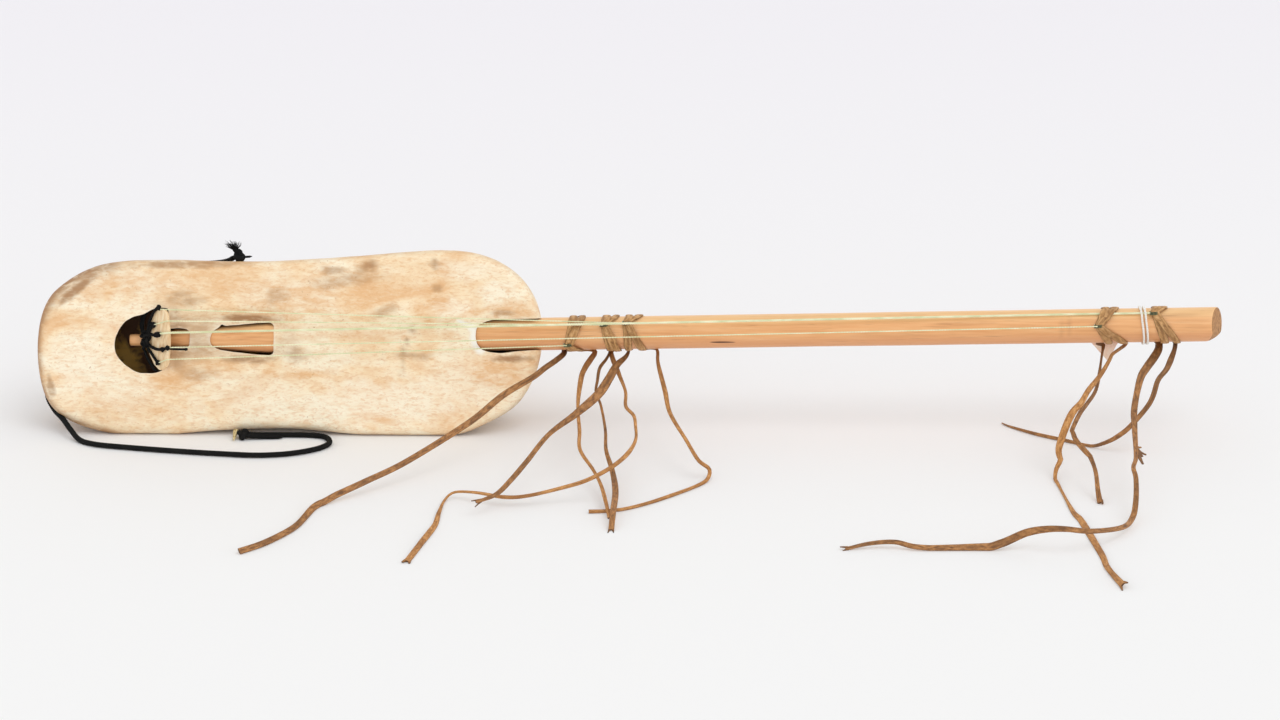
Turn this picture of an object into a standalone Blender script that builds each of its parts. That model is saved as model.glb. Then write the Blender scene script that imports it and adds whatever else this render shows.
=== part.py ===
"""A five-string ngoni: a carved trough with a hide head, a round stick for a neck, and leather tuning laces.

Body coordinates: x runs along the body from its tail end, z across the face, and y backwards out of the face.
The floor frame has its x along the body too, its z up, and its floor at z = 0.
"""

import math

import bmesh
import bpy
from mathutils import Matrix, Vector

MM = 0.001
FIT = 0.3 * MM

# Resonator
BODY_LENGTH = 378 * MM
BODY_WIDTH = 141 * MM
BODY_DEPTH = 60 * MM
RIM_RADIUS = 7 * MM
BACK_RADIUS = 12 * MM
REST_DISTANCE = 68 * MM
LEAN = math.radians(15)
HULL_WALL = 11 * MM
HULL_FLOOR = 14 * MM
HOLLOW_BEVEL = 8 * MM
HULL_NOTCH_FROM_END = 45 * MM
HULL_NOTCH_ROOM = 0.35 * MM
OUTLINE = [
    (0, -0.035), (0.013, 0.19), (0.052, 0.328), (0.124, 0.428), (0.238, 0.456), (0.437, 0.449),
    (0.627, 0.479), (0.802, 0.515), (0.892, 0.484), (0.95, 0.394), (0.987, 0.248), (1, 0.057),
    (0.987, -0.142), (0.95, -0.319), (0.892, -0.422), (0.825, -0.484), (0.714, -0.493), (0.627, -0.479),
    (0.503, -0.452), (0.37, -0.46), (0.225, -0.4915), (0.124, -0.472), (0.052, -0.4), (0.013, -0.27),
]
OUTLINE_STEPS = 2

# Hide head
HIDE = 1.5 * MM
HIDE_GAP = 0.4 * MM
HIDE_FOLD = 14 * MM
HIDE_RINGS = (0.8, 0.6, 0.4, 0.22, 0.1)
HIDE_MIDDLE = 60 * MM
TENT_FLAT = 9 * MM
TENT_SLOPE = 28 * MM
PEG_COUNT = 8
PEG_HEAD_RADIUS = 2.6 * MM
PEG_HEAD_HEIGHT = 1.6 * MM

# Openings in the hide
HOLE_X = 80.8 * MM
HOLE_Z = 3.2 * MM
HOLE_RADIUS = 25 * MM
HOLE_STRAIGHT_X = 98 * MM
NOTCH_X = 113 * MM
NOTCH_HEIGHT = 17.5 * MM
WINDOW_X = (132 * MM, 177.4 * MM)
WINDOW_HEIGHT = 24.4 * MM
SLOT_X = BODY_LENGTH - 47.3 * MM
SLOT_ABOVE = 1 * MM
SLOT_BELOW = 1.8 * MM
SLOT_BEND = 22 * MM
SLOT_NOTCH_ROOM = 0.7 * MM

# Neck
NECK_TIP_X = 67 * MM
NECK_LENGTH = 822 * MM
NECK_END_X = NECK_TIP_X + NECK_LENGTH
NECK_MIDDLE = Vector((503.7, 9.27, 11.64)) * MM
NECK_DROP = 0.0087
NECK_RISE = 0.02043
NECK_RADII = [(0, 4.5), (12, 4.6), (39.5, 7.4), (67, 8.7), (105, 11.3), (183, 12.3), (822, 13.0)]
NECK_END_SLANT = math.radians(18)
NECK_END_CORNER = 5 * MM
NECK_SIDES = 24

# Fan bridge
FAN_FOOT_Z = 12.6 * MM
FAN_FOOT_HEIGHT = 3.6 * MM
FAN_LENGTH = 25.3 * MM
FAN_LEAN = math.radians(41)
FAN_THICKNESS = 3 * MM
FAN_OUTLINE = [
    (-6.5, 0), (6.5, 0), (13.5, 5), (18.5, 11), (21.2, 15.6), (25.2, 18.3), (26.4, 21.5), (25.8, 24.3), (24, 25.3),
    (-18.2, 25.3), (-21.2, 24.2), (-23, 21.2), (-22.6, 17.2), (-20.4, 13.6), (-13.5, 5),
]
LASHING_RADIUS = 1.1 * MM
LASHING_TURNS = 3
LASHING_PITCH = 2.65 * MM
LASHING_START = 1.8 * MM
ANCHOR_RADIUS = 1 * MM
ANCHOR_KNOT = 1.8
ANCHOR_START = 2.2 * MM
ANCHOR_SPACING = 4 * MM

# Strings: knot on the fan (across, along), place over the fan's edge, ring, place across at the ring, radius
STRINGS = [
    ((22.3, 17), 22, 3, 10.4, 0.6),
    ((12, 11.5), 13.3, 2, 8, 0.6),
    ((4.6, 17), 4.2, 5, 8.3, 0.7),
    ((-5.8, 19.5), -7.1, 4, 0, 0.6),
    ((-15.5, 16), -16.7, 1, -8.5, 0.6),
]
STRING_START = 1.3 * MM
STRING_KNOT = 1.3 * MM
STRING_END_RADIUS = 17 * MM
NUT_X = NECK_END_X - 59.5 * MM
NUT_PITCH = 3.5 * MM
NUT_SLANT = 2 * MM
NUT_THREAD = 0.7 * MM
NUT_TURNS = 2

# The third string lies on the neck under the fourth ring and the nut binding, which rise over it
HELD_STRING = 3
RING_OVER_STRING = 4
HELD_FROM_X = NECK_END_X - 107 * MM
HELD_ROOM = FIT + 0.1 * MM
HELD_RISE = 1.9 * MM
HELD_KNOT_X = NUT_X + 7.9 * MM
HELD_KNOT_OUT = 14.5 * MM

# Tuning rings: place of the point, place across, rise to the two crossings above and below, start angle
PAST_BODY = BODY_LENGTH / MM
NECK_END = NECK_END_X / MM
RINGS = [
    (PAST_BODY + 19, -8.5, (5, 16), (5, 14), 235),
    (PAST_BODY + 45.5, 8, (3, 15), (7, 13), 235),
    (PAST_BODY + 63, 10.4, (2, 16), (4, 16), 235),
    (NECK_END - 91.7, 0, (4, 14), (10, 23), 250),
    (NECK_END - 48, 8.3, (2, 10), (7, 23), 235),
]
LACE_WIDTH = 3.2 * MM
LACE_THICKNESS = 1 * MM
LACE_LAYER = 1.45 * MM
LACE_CLOSE = 4.3 * MM
LACE_APART = 5.8 * MM
RING_END_ANGLE = -445
TURN_POINTS = 24
TAIL_RADIUS = 1.45 * MM
TAIL_SPACING = 8.5 * MM
TAIL_GAPS = (0.85 * MM, 0.5 * MM)

# Hide flap under the fourth ring: its corners beyond the ring's place and above the floor
FLAP_DEPTH = 16.6 * MM
FLAP_THICKNESS = 1.2 * MM
FLAP_CORNERS = [(2.2, 69.1), (18.7, 69.5), (14.2, 54.9)]

# Free ends of the laces: ring, which end, route in millimetres, its x from the ring's place, y and z by the floor
TAILS = [
    (1, 0, [(0.5, 10, 57.6), (0, 0, 59.5), (-6, -10, 60), (-16, -24, 58), (-44, -50, 49),
            (-68, -70, 34), (-112, -109, 17), (-141, -132, 10), (-165, -149, 4), (-176, -163, 1.6),
            (-187, -201, 1.6), (-204, -229, 1.6), (-221, -246, 1.6)]),
    (1, 1, [(21, 0, 58), (14, -22, 51), (12, -50, 40), (14, -78, 30), (15, -99, 23), (25, -115, 13.5),
            (31, -134, 9.5), (35, -158.5, 6.8), (38, -177, 1.6)]),
    (2, 0, [(2.5, 11, 57.6), (4.5, 3, 57), (0.5, -9, 53), (-1.5, -32, 43), (2.5, -46, 38),
            (6.5, -74, 29), (7.5, -94, 21), (12.5, -115, 13), (15.5, -149, 10.5), (14.5, -183, 8),
            (13.5, -199, 1.6)]),
    (2, 1, [(12.5, -2, 58.5), (14.5, -18, 55), (21.5, -38, 46), (29.5, -64, 34), (29.5, -90, 27.5),
            (23.5, -112, 25), (11.5, -135, 23), (-5.5, -147, 18), (-23.5, -147, 12), (-48.5, -153, 8),
            (-65.5, -153, 7), (-85.5, -146, 7.5), (-101.5, -139, 5), (-108.5, -144, 2),
            (-111.5, -169, 1.6), (-113.5, -196, 1.6), (-121.5, -231, 1.6), (-128.5, -259, 1.6)]),
    (3, 0, [(2.5, 10, 58), (4, 0, 59), (-3, -26, 57), (-15, -52, 50), (-33, -78, 43), (-52, -102, 36),
            (-67, -131, 26), (-78, -148, 18), (-88, -163, 13), (-102, -173, 11)]),
    (3, 1, [(22, 2, 58.5), (29, -16, 54), (33, -38, 46), (37, -60, 37), (49, -86, 26), (57, -98, 15),
            (63, -96, 4), (56, -114, 1.6), (32, -140, 1.6), (9, -158, 1.6), (-6, -164, 1.6),
            (-21, -166, 1.6)]),
    (4, 0, [(5.7, 7, 65.8), (4.7, -6, 63), (0.7, -30, 55), (-3.3, -45, 50), (-10.3, -57, 45),
            (-16.3, -67, 41), (-22.3, -84, 34), (-20.3, -98, 30), (-12.3, -112, 25), (-8.3, -124, 18),
            (-7.3, -134, 6), (-6.3, -143, 1.6)]),
    (4, 1, [(22.7, 0, 66.5), (11.7, -18, 68), (4.7, -32, 64), (-1.3, -43, 60), (-9.3, -57, 56),
            (-15.3, -69, 51), (-22.3, -77, 46), (-27.3, -82, 37), (-32.3, -86, 22), (-34.3, -89, 9),
            (-35.3, -98, 2), (-33.3, -112, 1.6), (-27.3, -161, 1.6), (-22.3, -183, 1.6),
            (-14.3, -239, 1.6), (-12.3, -267, 1.6), (-5.3, -297, 1.6)]),
    (5, 0, [(5, 10, 66.6), (7, 2, 65.8), (2, -10, 64), (-7, -26, 62), (-12, -40, 59), (-20, -71, 48),
            (-22, -94, 41), (-23, -124, 30), (-25, -170, 14), (-29, -184, 6.5), (-41, -208, 8.5),
            (-65, -231, 15), (-84, -237, 19), (-97, -235, 18), (-111, -230, 13), (-129, -231, 5),
            (-147, -231, 1.8), (-186, -232, 3), (-203, -229, 5), (-221, -229, 4), (-238, -232, 1.6)]),
    (5, 1, [(21, 1, 67), (14, -8, 66), (9, -18, 59), (2, -26, 53), (-2, -33, 43), (-7, -37, 35),
            (-19, -40, 21), (-26, -39, 14), (-34, -37, 8), (-43, -32, 3), (-53, -26, 1.6),
            (-69, -16, 1.6), (-79, -10, 1.6), (-90, -2, 1.6), (-104, 11, 1.6), (-110, 19, 1.6)]),
]

# Carrying cord: from its lower knot along the floor, in millimetres of the floor frame, then along the side wall
CORD_RADIUS = 2 * MM
LOWER_KNOT = (154.5, -21.5, 3.9)
LOWER_KNOT_RADII = (4.2, 3.8, 3.8)
CORD_FLOOR = [
    (172, -17.6, 2.2), (190, -17.4, 2.2), (206, -18, 2.2), (217, -22, 2.2), (221, -34, 2.2),
    (213, -46, 2.2), (194, -56, 2.2), (171, -60, 2.2), (146, -58, 2.2), (105, -52, 2.2), (63, -44, 2.2),
    (38, -38, 2.2), (24, -27, 3),
]
CORD_WALL_STEPS = (45, 46, 47, 48, 49, 51, 53, 55)
CORD_WALL_DEPTH = 38 * MM
CORD_WALL_GAP = 0.8 * MM
CORD_TOP = (128, 38, 122.4)
CORD_SPACING = 8.5 * MM
UPPER_KNOT = (150.5, 29, 128.7)
UPPER_KNOT_RADII = (5.2, 4, 4.1)

# Peg beside the lower knot, lying along the cord's hole
CORD_PEG_FROM = (148.6, -15.5, 4.2)
CORD_PEG_TO = (148.1, -27, 1.5)
CORD_PEG_RADII = (2.2, 1.1)


def smooth(points, closed, steps):
    """Points of a smooth curve through the given ones, with a number of steps in each span."""
    points = [Vector(p) for p in points]
    count = len(points)
    spans = count if closed else count - 1
    out = []
    for i in range(spans):
        near = []
        for k in (-1, 0, 1, 2):
            j = (i + k) % count if closed else min(max(i + k, 0), count - 1)
            near.append(points[j])
        a, b, c, d = near
        for step in range(steps):
            t = step / steps
            out.append(
                0.5 * (2 * b + (c - a) * t + (2 * a - 5 * b + 4 * c - d) * t ** 2
                       + (3 * b - a - 3 * c + d) * t ** 3)
            )
    if not closed:
        out.append(points[-1].copy())
    return out


def evenly(points, spacing):
    """A smooth curve through route points, read at even distances."""
    fine = smooth(points, False, 24)
    along = [0.0]
    for a, b in zip(fine, fine[1:]):
        along.append(along[-1] + (b - a).length)
    count = max(3, round(along[-1] / spacing))
    out = []
    j = 0
    for i in range(count + 1):
        goal = along[-1] * i / count
        while j < len(fine) - 2 and along[j + 1] < goal:
            j += 1
        part = (goal - along[j]) / max(along[j + 1] - along[j], 1e-9)
        out.append(fine[j].lerp(fine[j + 1], min(max(part, 0), 1)))
    return out


def material(name, colour, roughness, metallic=0.0):
    made = bpy.data.materials.new(name)
    made.use_nodes = True
    shader = made.node_tree.nodes["Principled BSDF"]
    shader.inputs["Base Color"].default_value = (*colour, 1)
    shader.inputs["Roughness"].default_value = roughness
    shader.inputs["Metallic"].default_value = metallic
    return made


def empty(name, matrix, parent=None):
    made = bpy.data.objects.new(name, None)
    parts.objects.link(made)
    made.parent = parent
    made.matrix_local = matrix
    return made


def mesh_object(name, mesh, colour=None, parent=None, cutter=False):
    """An object for a mesh, in its parent's coordinates."""
    made = bpy.data.objects.new(name, mesh)
    (cutters if cutter else parts).objects.link(made)
    made.parent = parent
    if colour:
        mesh.materials.clear()
        mesh.materials.append(colour)
    if cutter:
        made.hide_render = True
        made.display_type = "WIRE"
    return made


def loft(name, rings, cap_start, cap_end):
    """A mesh through rings of equally many points, its faces turned outwards."""
    bm = bmesh.new()
    rows = [[bm.verts.new(p) for p in ring] for ring in rings]
    count = len(rows[0])
    for a, b in zip(rows, rows[1:]):
        for i in range(count):
            j = (i + 1) % count
            bm.faces.new((a[i], a[j], b[j], b[i]))
    for row, wanted in ((rows[0], cap_start), (rows[-1], cap_end)):
        if wanted:
            edges = [bm.edges.get((row[i], row[(i + 1) % count])) for i in range(count)]
            bmesh.ops.triangle_fill(bm, edges=edges, use_beauty=True)
    bmesh.ops.recalc_face_normals(bm, faces=bm.faces)
    middle = sum((v.co for v in bm.verts), Vector()) / len(bm.verts)
    if sum((f.calc_center_median() - middle).dot(f.normal) * f.calc_area() for f in bm.faces) < 0:
        bmesh.ops.reverse_faces(bm, faces=bm.faces)
    mesh = bpy.data.meshes.new(name)
    bm.to_mesh(mesh)
    bm.free()
    return mesh


def round_off(mesh, angle=50):
    mesh.shade_smooth()
    mesh.set_sharp_from_angle(angle=math.radians(angle))


def cut(target, cutter):
    change = target.modifiers.new("cut " + cutter.name, "BOOLEAN")
    change.operation = "DIFFERENCE"
    change.solver = "EXACT"
    change.object = cutter


def turned(name, profile, sides, parent, colour=None, cutter=False):
    """A solid turned about its parent's Z, from a profile of (radius, place) running down at +X."""
    bm = bmesh.new()
    row = [bm.verts.new((radius, 0, place)) for radius, place in profile]
    for a, b in zip(row, row[1:]):
        bm.edges.new((a, b))
    mesh = bpy.data.meshes.new(name)
    bm.to_mesh(mesh)
    bm.free()
    made = mesh_object(name, mesh, colour, parent, cutter)
    screw = made.modifiers.new("turn", "SCREW")
    screw.axis = "Z"
    screw.steps = sides
    screw.render_steps = sides
    screw.use_merge_vertices = True
    screw.merge_threshold = 0.00001
    return made


def tube(name, points, radius, colour, parent, sizes=None, resolution=2):
    """A round cord through the points, in its parent's coordinates."""
    curve = bpy.data.curves.new(name, "CURVE")
    curve.dimensions = "3D"
    curve.bevel_depth = radius
    curve.bevel_resolution = resolution
    curve.use_fill_caps = True
    spline = curve.splines.new("POLY")
    spline.points.add(len(points) - 1)
    for i, p in enumerate(points):
        spline.points[i].co = (*p, 1)
        spline.points[i].radius = sizes[i] if sizes else 1
    curve.materials.append(colour)
    made = bpy.data.objects.new(name, curve)
    parts.objects.link(made)
    made.parent = parent
    return made


def flat(name, outline, thickness, colour, parent, matrix):
    """A flat piece from its outline, as a mesh whose thickness lies evenly about its plane."""
    curve = bpy.data.curves.new(name, "CURVE")
    curve.dimensions = "2D"
    curve.fill_mode = "BOTH"
    curve.extrude = thickness / 2
    spline = curve.splines.new("POLY")
    spline.points.add(len(outline) - 1)
    for i, (x, y) in enumerate(outline):
        spline.points[i].co = (x, y, 0, 1)
    spline.use_cyclic_u = True
    shape = bpy.data.objects.new(name + " outline", curve)
    cutters.objects.link(shape)
    found = shape.evaluated_get(bpy.context.evaluated_depsgraph_get())
    mesh = bpy.data.meshes.new_from_object(found)
    bpy.data.objects.remove(shape)
    bm = bmesh.new()
    bm.from_mesh(mesh)
    bmesh.ops.remove_doubles(bm, verts=bm.verts, dist=0.00001)
    bm.to_mesh(mesh)
    bm.free()
    made = mesh_object(name, mesh, colour, parent)
    made.matrix_local = matrix
    return made


def ball(name, centre, radii, colour, parent):
    """A knot: a small ellipsoid."""
    bm = bmesh.new()
    bmesh.ops.create_uvsphere(bm, u_segments=12, v_segments=8, radius=1)
    bmesh.ops.scale(bm, vec=radii, verts=bm.verts)
    mesh = bpy.data.meshes.new(name)
    bm.to_mesh(mesh)
    bm.free()
    mesh.shade_smooth()
    made = mesh_object(name, mesh, colour, parent)
    made.location = centre
    return made


def neck_radius(place):
    """The neck's radius at a place along it, counted from its tip."""
    place = place / MM
    for (z0, r0), (z1, r1) in zip(NECK_RADII, NECK_RADII[1:]):
        if place <= z1:
            return (r0 + (r1 - r0) * (place - z0) / (z1 - z0)) * MM
    return NECK_RADII[-1][1] * MM


def axis_z(x):
    return NECK_MIDDLE.z + NECK_RISE * (x - NECK_MIDDLE.x)


def axis_y(x):
    return NECK_MIDDLE.y - NECK_DROP * (x - NECK_MIDDLE.x)


# Start from an empty file
for old in list(bpy.data.objects):
    bpy.data.objects.remove(old)
parts = bpy.data.collections.new("ngoni")
cutters = bpy.data.collections.new("cutters")
bpy.context.scene.collection.children.link(parts)
bpy.context.scene.collection.children.link(cutters)

# Looks
WOOD = material("hull wood", (0.33, 0.17, 0.07), 0.7)
HIDE_LOOK = material("cream hide", (0.80, 0.66, 0.44), 0.6)
NECK_LOOK = material("neck wood", (0.62, 0.34, 0.14), 0.5)
FAN_LOOK = material("pale fan", (0.78, 0.62, 0.38), 0.6)
BLACK = material("black cord", (0.02, 0.02, 0.022), 0.7)
NYLON = material("pale nylon", (0.72, 0.72, 0.45), 0.35)
LEATHER = material("brown leather", (0.36, 0.20, 0.12), 0.7)
THREAD = material("white thread", (0.85, 0.83, 0.78), 0.8)
PINK = material("pinkish hide", (0.70, 0.48, 0.38), 0.7)
PALE = material("yellowish wood", (0.72, 0.60, 0.32), 0.7)

# Frames: the stance leans the body back, the neck line has its Z along the neck and its X out of the face
stand = REST_DISTANCE * math.cos(LEAN) + RIM_RADIUS * math.sin(LEAN)
STANCE = Matrix.Translation((0, 0, stand)) @ Matrix.Rotation(-LEAN, 4, "X")
along = Vector((1, -NECK_DROP, NECK_RISE)).normalized()
front = (Vector((0, -1, 0)) - along * along.dot(Vector((0, -1, 0)))).normalized()
down = along.cross(front)
NECK = Matrix.Translation((NECK_TIP_X, axis_y(NECK_TIP_X), axis_z(NECK_TIP_X)))
NECK = NECK @ Matrix((front, down, along)).transposed().to_4x4()
root = empty("ngoni_frame", Matrix())
stance = empty("stance", STANCE, root)
neck_line = empty("neck_line", NECK, stance)


def neck_point(x, across, out):
    """A point by the neck: its place along the body, its place across the face, its height over the axis."""
    return Vector((out, -across, x - NECK_TIP_X))


def turned_point(place, angle, radius):
    """A point around the neck, its angle counted from the front upwards."""
    angle = math.radians(angle)
    return Vector((radius * math.cos(angle), -radius * math.sin(angle), place))


# Outline of the body and its insets
scaled = [(x * BODY_LENGTH, z * BODY_WIDTH, 0) for x, z in OUTLINE]
BORDER = smooth(scaled, True, OUTLINE_STEPS)
inward = []
for i, p in enumerate(BORDER):
    way = (BORDER[(i + 1) % len(BORDER)] - BORDER[i - 1]).normalized()
    inward.append(Vector((way.y, -way.x, 0)))


def ring(inset, depth):
    """The body's outline at an inset and a depth, cut straight where it rests on the floor."""
    out = []
    for p, n in zip(BORDER, inward):
        q = p + n * inset
        out.append(Vector((q.x, depth, max(q.y, inset - REST_DISTANCE))))
    return out


def side_rings(shell, fold):
    """The rings of the body's side, from its back to its rim, for a surface inside the hide's outer one."""
    steep = math.tan(LEAN)
    corner = BODY_DEPTH - BACK_RADIUS
    reach = (corner - RIM_RADIUS) * steep
    out = [ring(reach + BACK_RADIUS + fold, BODY_DEPTH - shell)] if fold else []
    for turn in (90, 60, 30, 0):
        t = math.radians(turn)
        round_back = (BACK_RADIUS - shell)
        out.append(ring(reach + shell + round_back * (1 - math.cos(t)), corner + round_back * math.sin(t)))
    for turn in (90, 60, 30, 0):
        t = math.radians(turn)
        round_rim = RIM_RADIUS - shell
        out.append(ring(RIM_RADIUS - round_rim * math.sin(t), RIM_RADIUS - round_rim * math.cos(t)))
    return out


# Hull: the trough, with its hollow and the notch where the neck leaves it
shell = HIDE + HIDE_GAP
hull = mesh_object("hull", loft("hull", side_rings(shell, 0), True, True), WOOD, stance)
hollow_rings = []
hollow_end = BODY_DEPTH - HULL_FLOOR
for depth in (-2 * MM, RIM_RADIUS, BODY_DEPTH / 2, hollow_end - HOLLOW_BEVEL, hollow_end):
    inset = shell + HULL_WALL + max(0, depth - RIM_RADIUS) * math.tan(LEAN)
    if depth == hollow_end:
        inset += HOLLOW_BEVEL
    hollow_rings.append(ring(inset, depth))
hollow = mesh_object("hollow", loft("hollow", hollow_rings, True, True), None, stance, True)
cut(hull, hollow)


def notch(name, start_x, end_x, room, top):
    """A channel round the neck, open out of the face: a half round with straight sides."""
    rings = []
    for x in (start_x, end_x):
        wide = neck_radius(x - NECK_TIP_X) + room
        section = [turned_point(x - NECK_TIP_X, a, wide) for a in range(90, 271, 15)]
        section += [Vector((top, wide, x - NECK_TIP_X)), Vector((top, -wide, x - NECK_TIP_X))]
        rings.append(section)
    return mesh_object(name, loft(name, rings, True, True), None, neck_line, True)


cut(hull, notch("hull notch", BODY_LENGTH - HULL_NOTCH_FROM_END, BODY_LENGTH + 20 * MM, HULL_NOTCH_ROOM, 40 * MM))

# Hide: one skin from its fold on the back, round the sides and over the face
face_start = ring(RIM_RADIUS, 0)


def tent(x, z):
    """How far the neck under the hide lifts it."""
    top = -axis_y(x) + neck_radius(x - NECK_TIP_X) + FIT + HIDE
    aside = abs(z - axis_z(x))
    return max(0, top) * min(1, max(0, 1 - (aside - TENT_FLAT) / TENT_SLOPE))


def middle_of(p):
    x = min(max(p.x, HIDE_MIDDLE), BODY_LENGTH - HIDE_MIDDLE)
    return Vector((x, 0, axis_z(x)))


hide_rings = side_rings(0, HIDE_FOLD)
for share in HIDE_RINGS:
    row = []
    for p in face_start:
        q = middle_of(p).lerp(p, share)
        row.append(Vector((q.x, -tent(q.x, q.z), q.z)))
    hide_rings.append(row)
hide = mesh_object("hide", loft("hide", hide_rings, False, True), HIDE_LOOK, stance)
thick = hide.modifiers.new("thickness", "SOLIDIFY")
thick.thickness = HIDE
thick.offset = -1


def face_cutter(name, outline):
    """A prism through the hide's face, from an outline in body coordinates."""
    rings = [[Vector((x, y, z)) for x, z in outline] for y in (-12 * MM, 6 * MM)]
    return mesh_object(name, loft(name, rings, True, True), None, stance, True)


def arc(x, z, radius, start, end, steps):
    angles = [math.radians(start + (end - start) * i / steps) for i in range(steps + 1)]
    return [(x + radius * math.cos(a), z + radius * math.sin(a)) for a in angles]


open_angle = math.degrees(math.acos((HOLE_STRAIGHT_X - HOLE_X) / HOLE_RADIUS))
cut(hide, face_cutter("sound hole", arc(HOLE_X, HOLE_Z, HOLE_RADIUS, open_angle, 360 - open_angle, 24)))
mid = axis_z(NOTCH_X)
cut(hide, face_cutter("small window", [
    (HOLE_STRAIGHT_X - 6 * MM, mid - NOTCH_HEIGHT / 2), (NOTCH_X, mid - NOTCH_HEIGHT / 2),
    (NOTCH_X, mid + NOTCH_HEIGHT / 2), (HOLE_STRAIGHT_X - 6 * MM, mid + NOTCH_HEIGHT / 2),
]))
low, high = WINDOW_X
mid = axis_z((low + high) / 2)
half = WINDOW_HEIGHT / 2
cut(hide, face_cutter("large window", arc(low + half * 0.6, mid, half, 130, 230, 8) + [
    (high, mid - half), (high, mid + half)
]))
slot_mid = axis_z(SLOT_X)
slot_wide = neck_radius(SLOT_X - NECK_TIP_X)
above = slot_mid + slot_wide + SLOT_ABOVE
below = slot_mid - slot_wide - SLOT_BELOW
bend = arc(SLOT_X + SLOT_BEND, (above + below) / 2, SLOT_BEND, 130, 230, 8)
bend = [(x, z) for x, z in bend if below < z < above]
cut(hide, face_cutter("neck slot", [(BODY_LENGTH + 12 * MM, above)] + [(SLOT_X + 8 * MM, above)] + bend + [
    (SLOT_X + 8 * MM, below), (BODY_LENGTH + 12 * MM, below)
]))
cut(hide, notch("hide notch", SLOT_X + 12 * MM, BODY_LENGTH + 20 * MM, SLOT_NOTCH_ROOM, 11 * MM))
round_off(hide.data)

# Pegs through the hide's edge on the back
peg_ring = ring((BODY_DEPTH - BACK_RADIUS - RIM_RADIUS) * math.tan(LEAN) + BACK_RADIUS + HIDE_FOLD / 2, BODY_DEPTH)
for i in range(PEG_COUNT):
    spot = peg_ring[round(len(peg_ring) * i / PEG_COUNT)]
    bm = bmesh.new()
    bmesh.ops.create_cone(
        bm, cap_ends=True, segments=12, radius1=PEG_HEAD_RADIUS * 0.8, radius2=PEG_HEAD_RADIUS,
        depth=PEG_HEAD_HEIGHT, matrix=Matrix.Rotation(math.radians(90), 4, "X"))
    mesh = bpy.data.meshes.new("hide_peg")
    bm.to_mesh(mesh)
    bm.free()
    peg = mesh_object("hide_peg_%d" % (i + 1), mesh, PALE, stance)
    peg.location = spot + Vector((0, FIT + PEG_HEAD_HEIGHT / 2, 0))

# Neck: a turned stick whose far end is cut on a slant
profile = [(radius * MM, place * MM) for place, radius in NECK_RADII]
end_radius = profile[-1][0]
neck_profile = [(0, NECK_LENGTH + 8 * MM), (end_radius, NECK_LENGTH + 8 * MM)]
neck_profile += [(r, z) for r, z in reversed(profile[1:-1])]
neck_profile += [(profile[0][0], 0.8 * MM), (profile[0][0] - 0.8 * MM, 0), (0, 0)]
neck = turned("neck", neck_profile, NECK_SIDES, neck_line, NECK_LOOK)


def end_cutter(name, place, out, lean):
    bm = bmesh.new()
    bmesh.ops.create_cube(bm, size=60 * MM)
    mesh = bpy.data.meshes.new(name)
    bm.to_mesh(mesh)
    bm.free()
    made = mesh_object(name, mesh, None, neck_line, True)
    turn = lean @ Matrix.Translation((0, 0, 30 * MM))
    made.matrix_local = Matrix.Translation((out.x, out.y, place)) @ turn
    return made


cut(neck, end_cutter("end cut", NECK_LENGTH, Vector((0, 0, 0)), Matrix.Rotation(NECK_END_SLANT, 4, "Y")))
corner = Matrix.Rotation(math.radians(-45), 4, "X")
cut(neck, end_cutter("corner cut", NECK_LENGTH, Vector((0, end_radius - NECK_END_CORNER, 0)), corner))


# Fan bridge, astride the neck's tip
fan_up = Vector((math.sin(FAN_LEAN), 0, math.cos(FAN_LEAN)))
fan_across = Vector((0, -1, 0))
fan_back = fan_across.cross(fan_up)
fan_foot = Vector((FAN_FOOT_HEIGHT, 0, FAN_FOOT_Z))
FAN = Matrix.Translation(fan_foot) @ Matrix((fan_across, fan_up, fan_back)).transposed().to_4x4()


def fan_point(across, up, off):
    """A point over the fan's outer face, by its place across, its place up, its distance from mid-thickness."""
    return FAN @ Vector((across, up, -off))


fan = flat("fan_bridge", [(x * MM, y * MM) for x, y in FAN_OUTLINE], FAN_THICKNESS, FAN_LOOK, neck_line, FAN)
tip_room = [(0, 60 * MM)] + [(neck_radius(z * MM) + FIT, z * MM) for z in (60, 39.5, 12, -6)] + [(0, -6 * MM)]
cut(fan, turned("tip room", tip_room, NECK_SIDES, neck_line, None, True))

# Anchor lashing: turns of black cord round the tip
lash = []
lash_steps = LASHING_TURNS * TURN_POINTS
lash_radius = neck_radius(6 * MM) + FIT + LASHING_RADIUS
for i in range(lash_steps + 1):
    lash.append(turned_point(LASHING_START + LASHING_PITCH * i / TURN_POINTS, 360 * i / TURN_POINTS, lash_radius))
tube("anchor_lashing", lash, LASHING_RADIUS, BLACK, neck_line, resolution=1)

# Anchor cords, each from the lashing over the fan to a string
face_off = FAN_THICKNESS / 2 + FIT + ANCHOR_RADIUS
for i, ((across, up), edge, k, at_ring, radius) in enumerate(STRINGS):
    start = fan_point((2 - i) * ANCHOR_SPACING, ANCHOR_START, face_off)
    half_way = fan_point((2 - i) * ANCHOR_SPACING * 0.4 + across * MM * 0.6, up * MM * 0.55, face_off)
    knot = fan_point(across * MM, up * MM, face_off + ANCHOR_RADIUS * (ANCHOR_KNOT - 1))
    points = evenly([start, half_way, knot], 2.4 * MM)
    sizes = [1] * len(points)
    sizes[-1] = ANCHOR_KNOT * 0.7
    sizes[-2] = ANCHOR_KNOT
    points[-2] = points[-1].lerp(points[-2], 0.8)
    tube("anchor_cord_%d" % (i + 1), points, ANCHOR_RADIUS, BLACK, neck_line, sizes)

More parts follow.
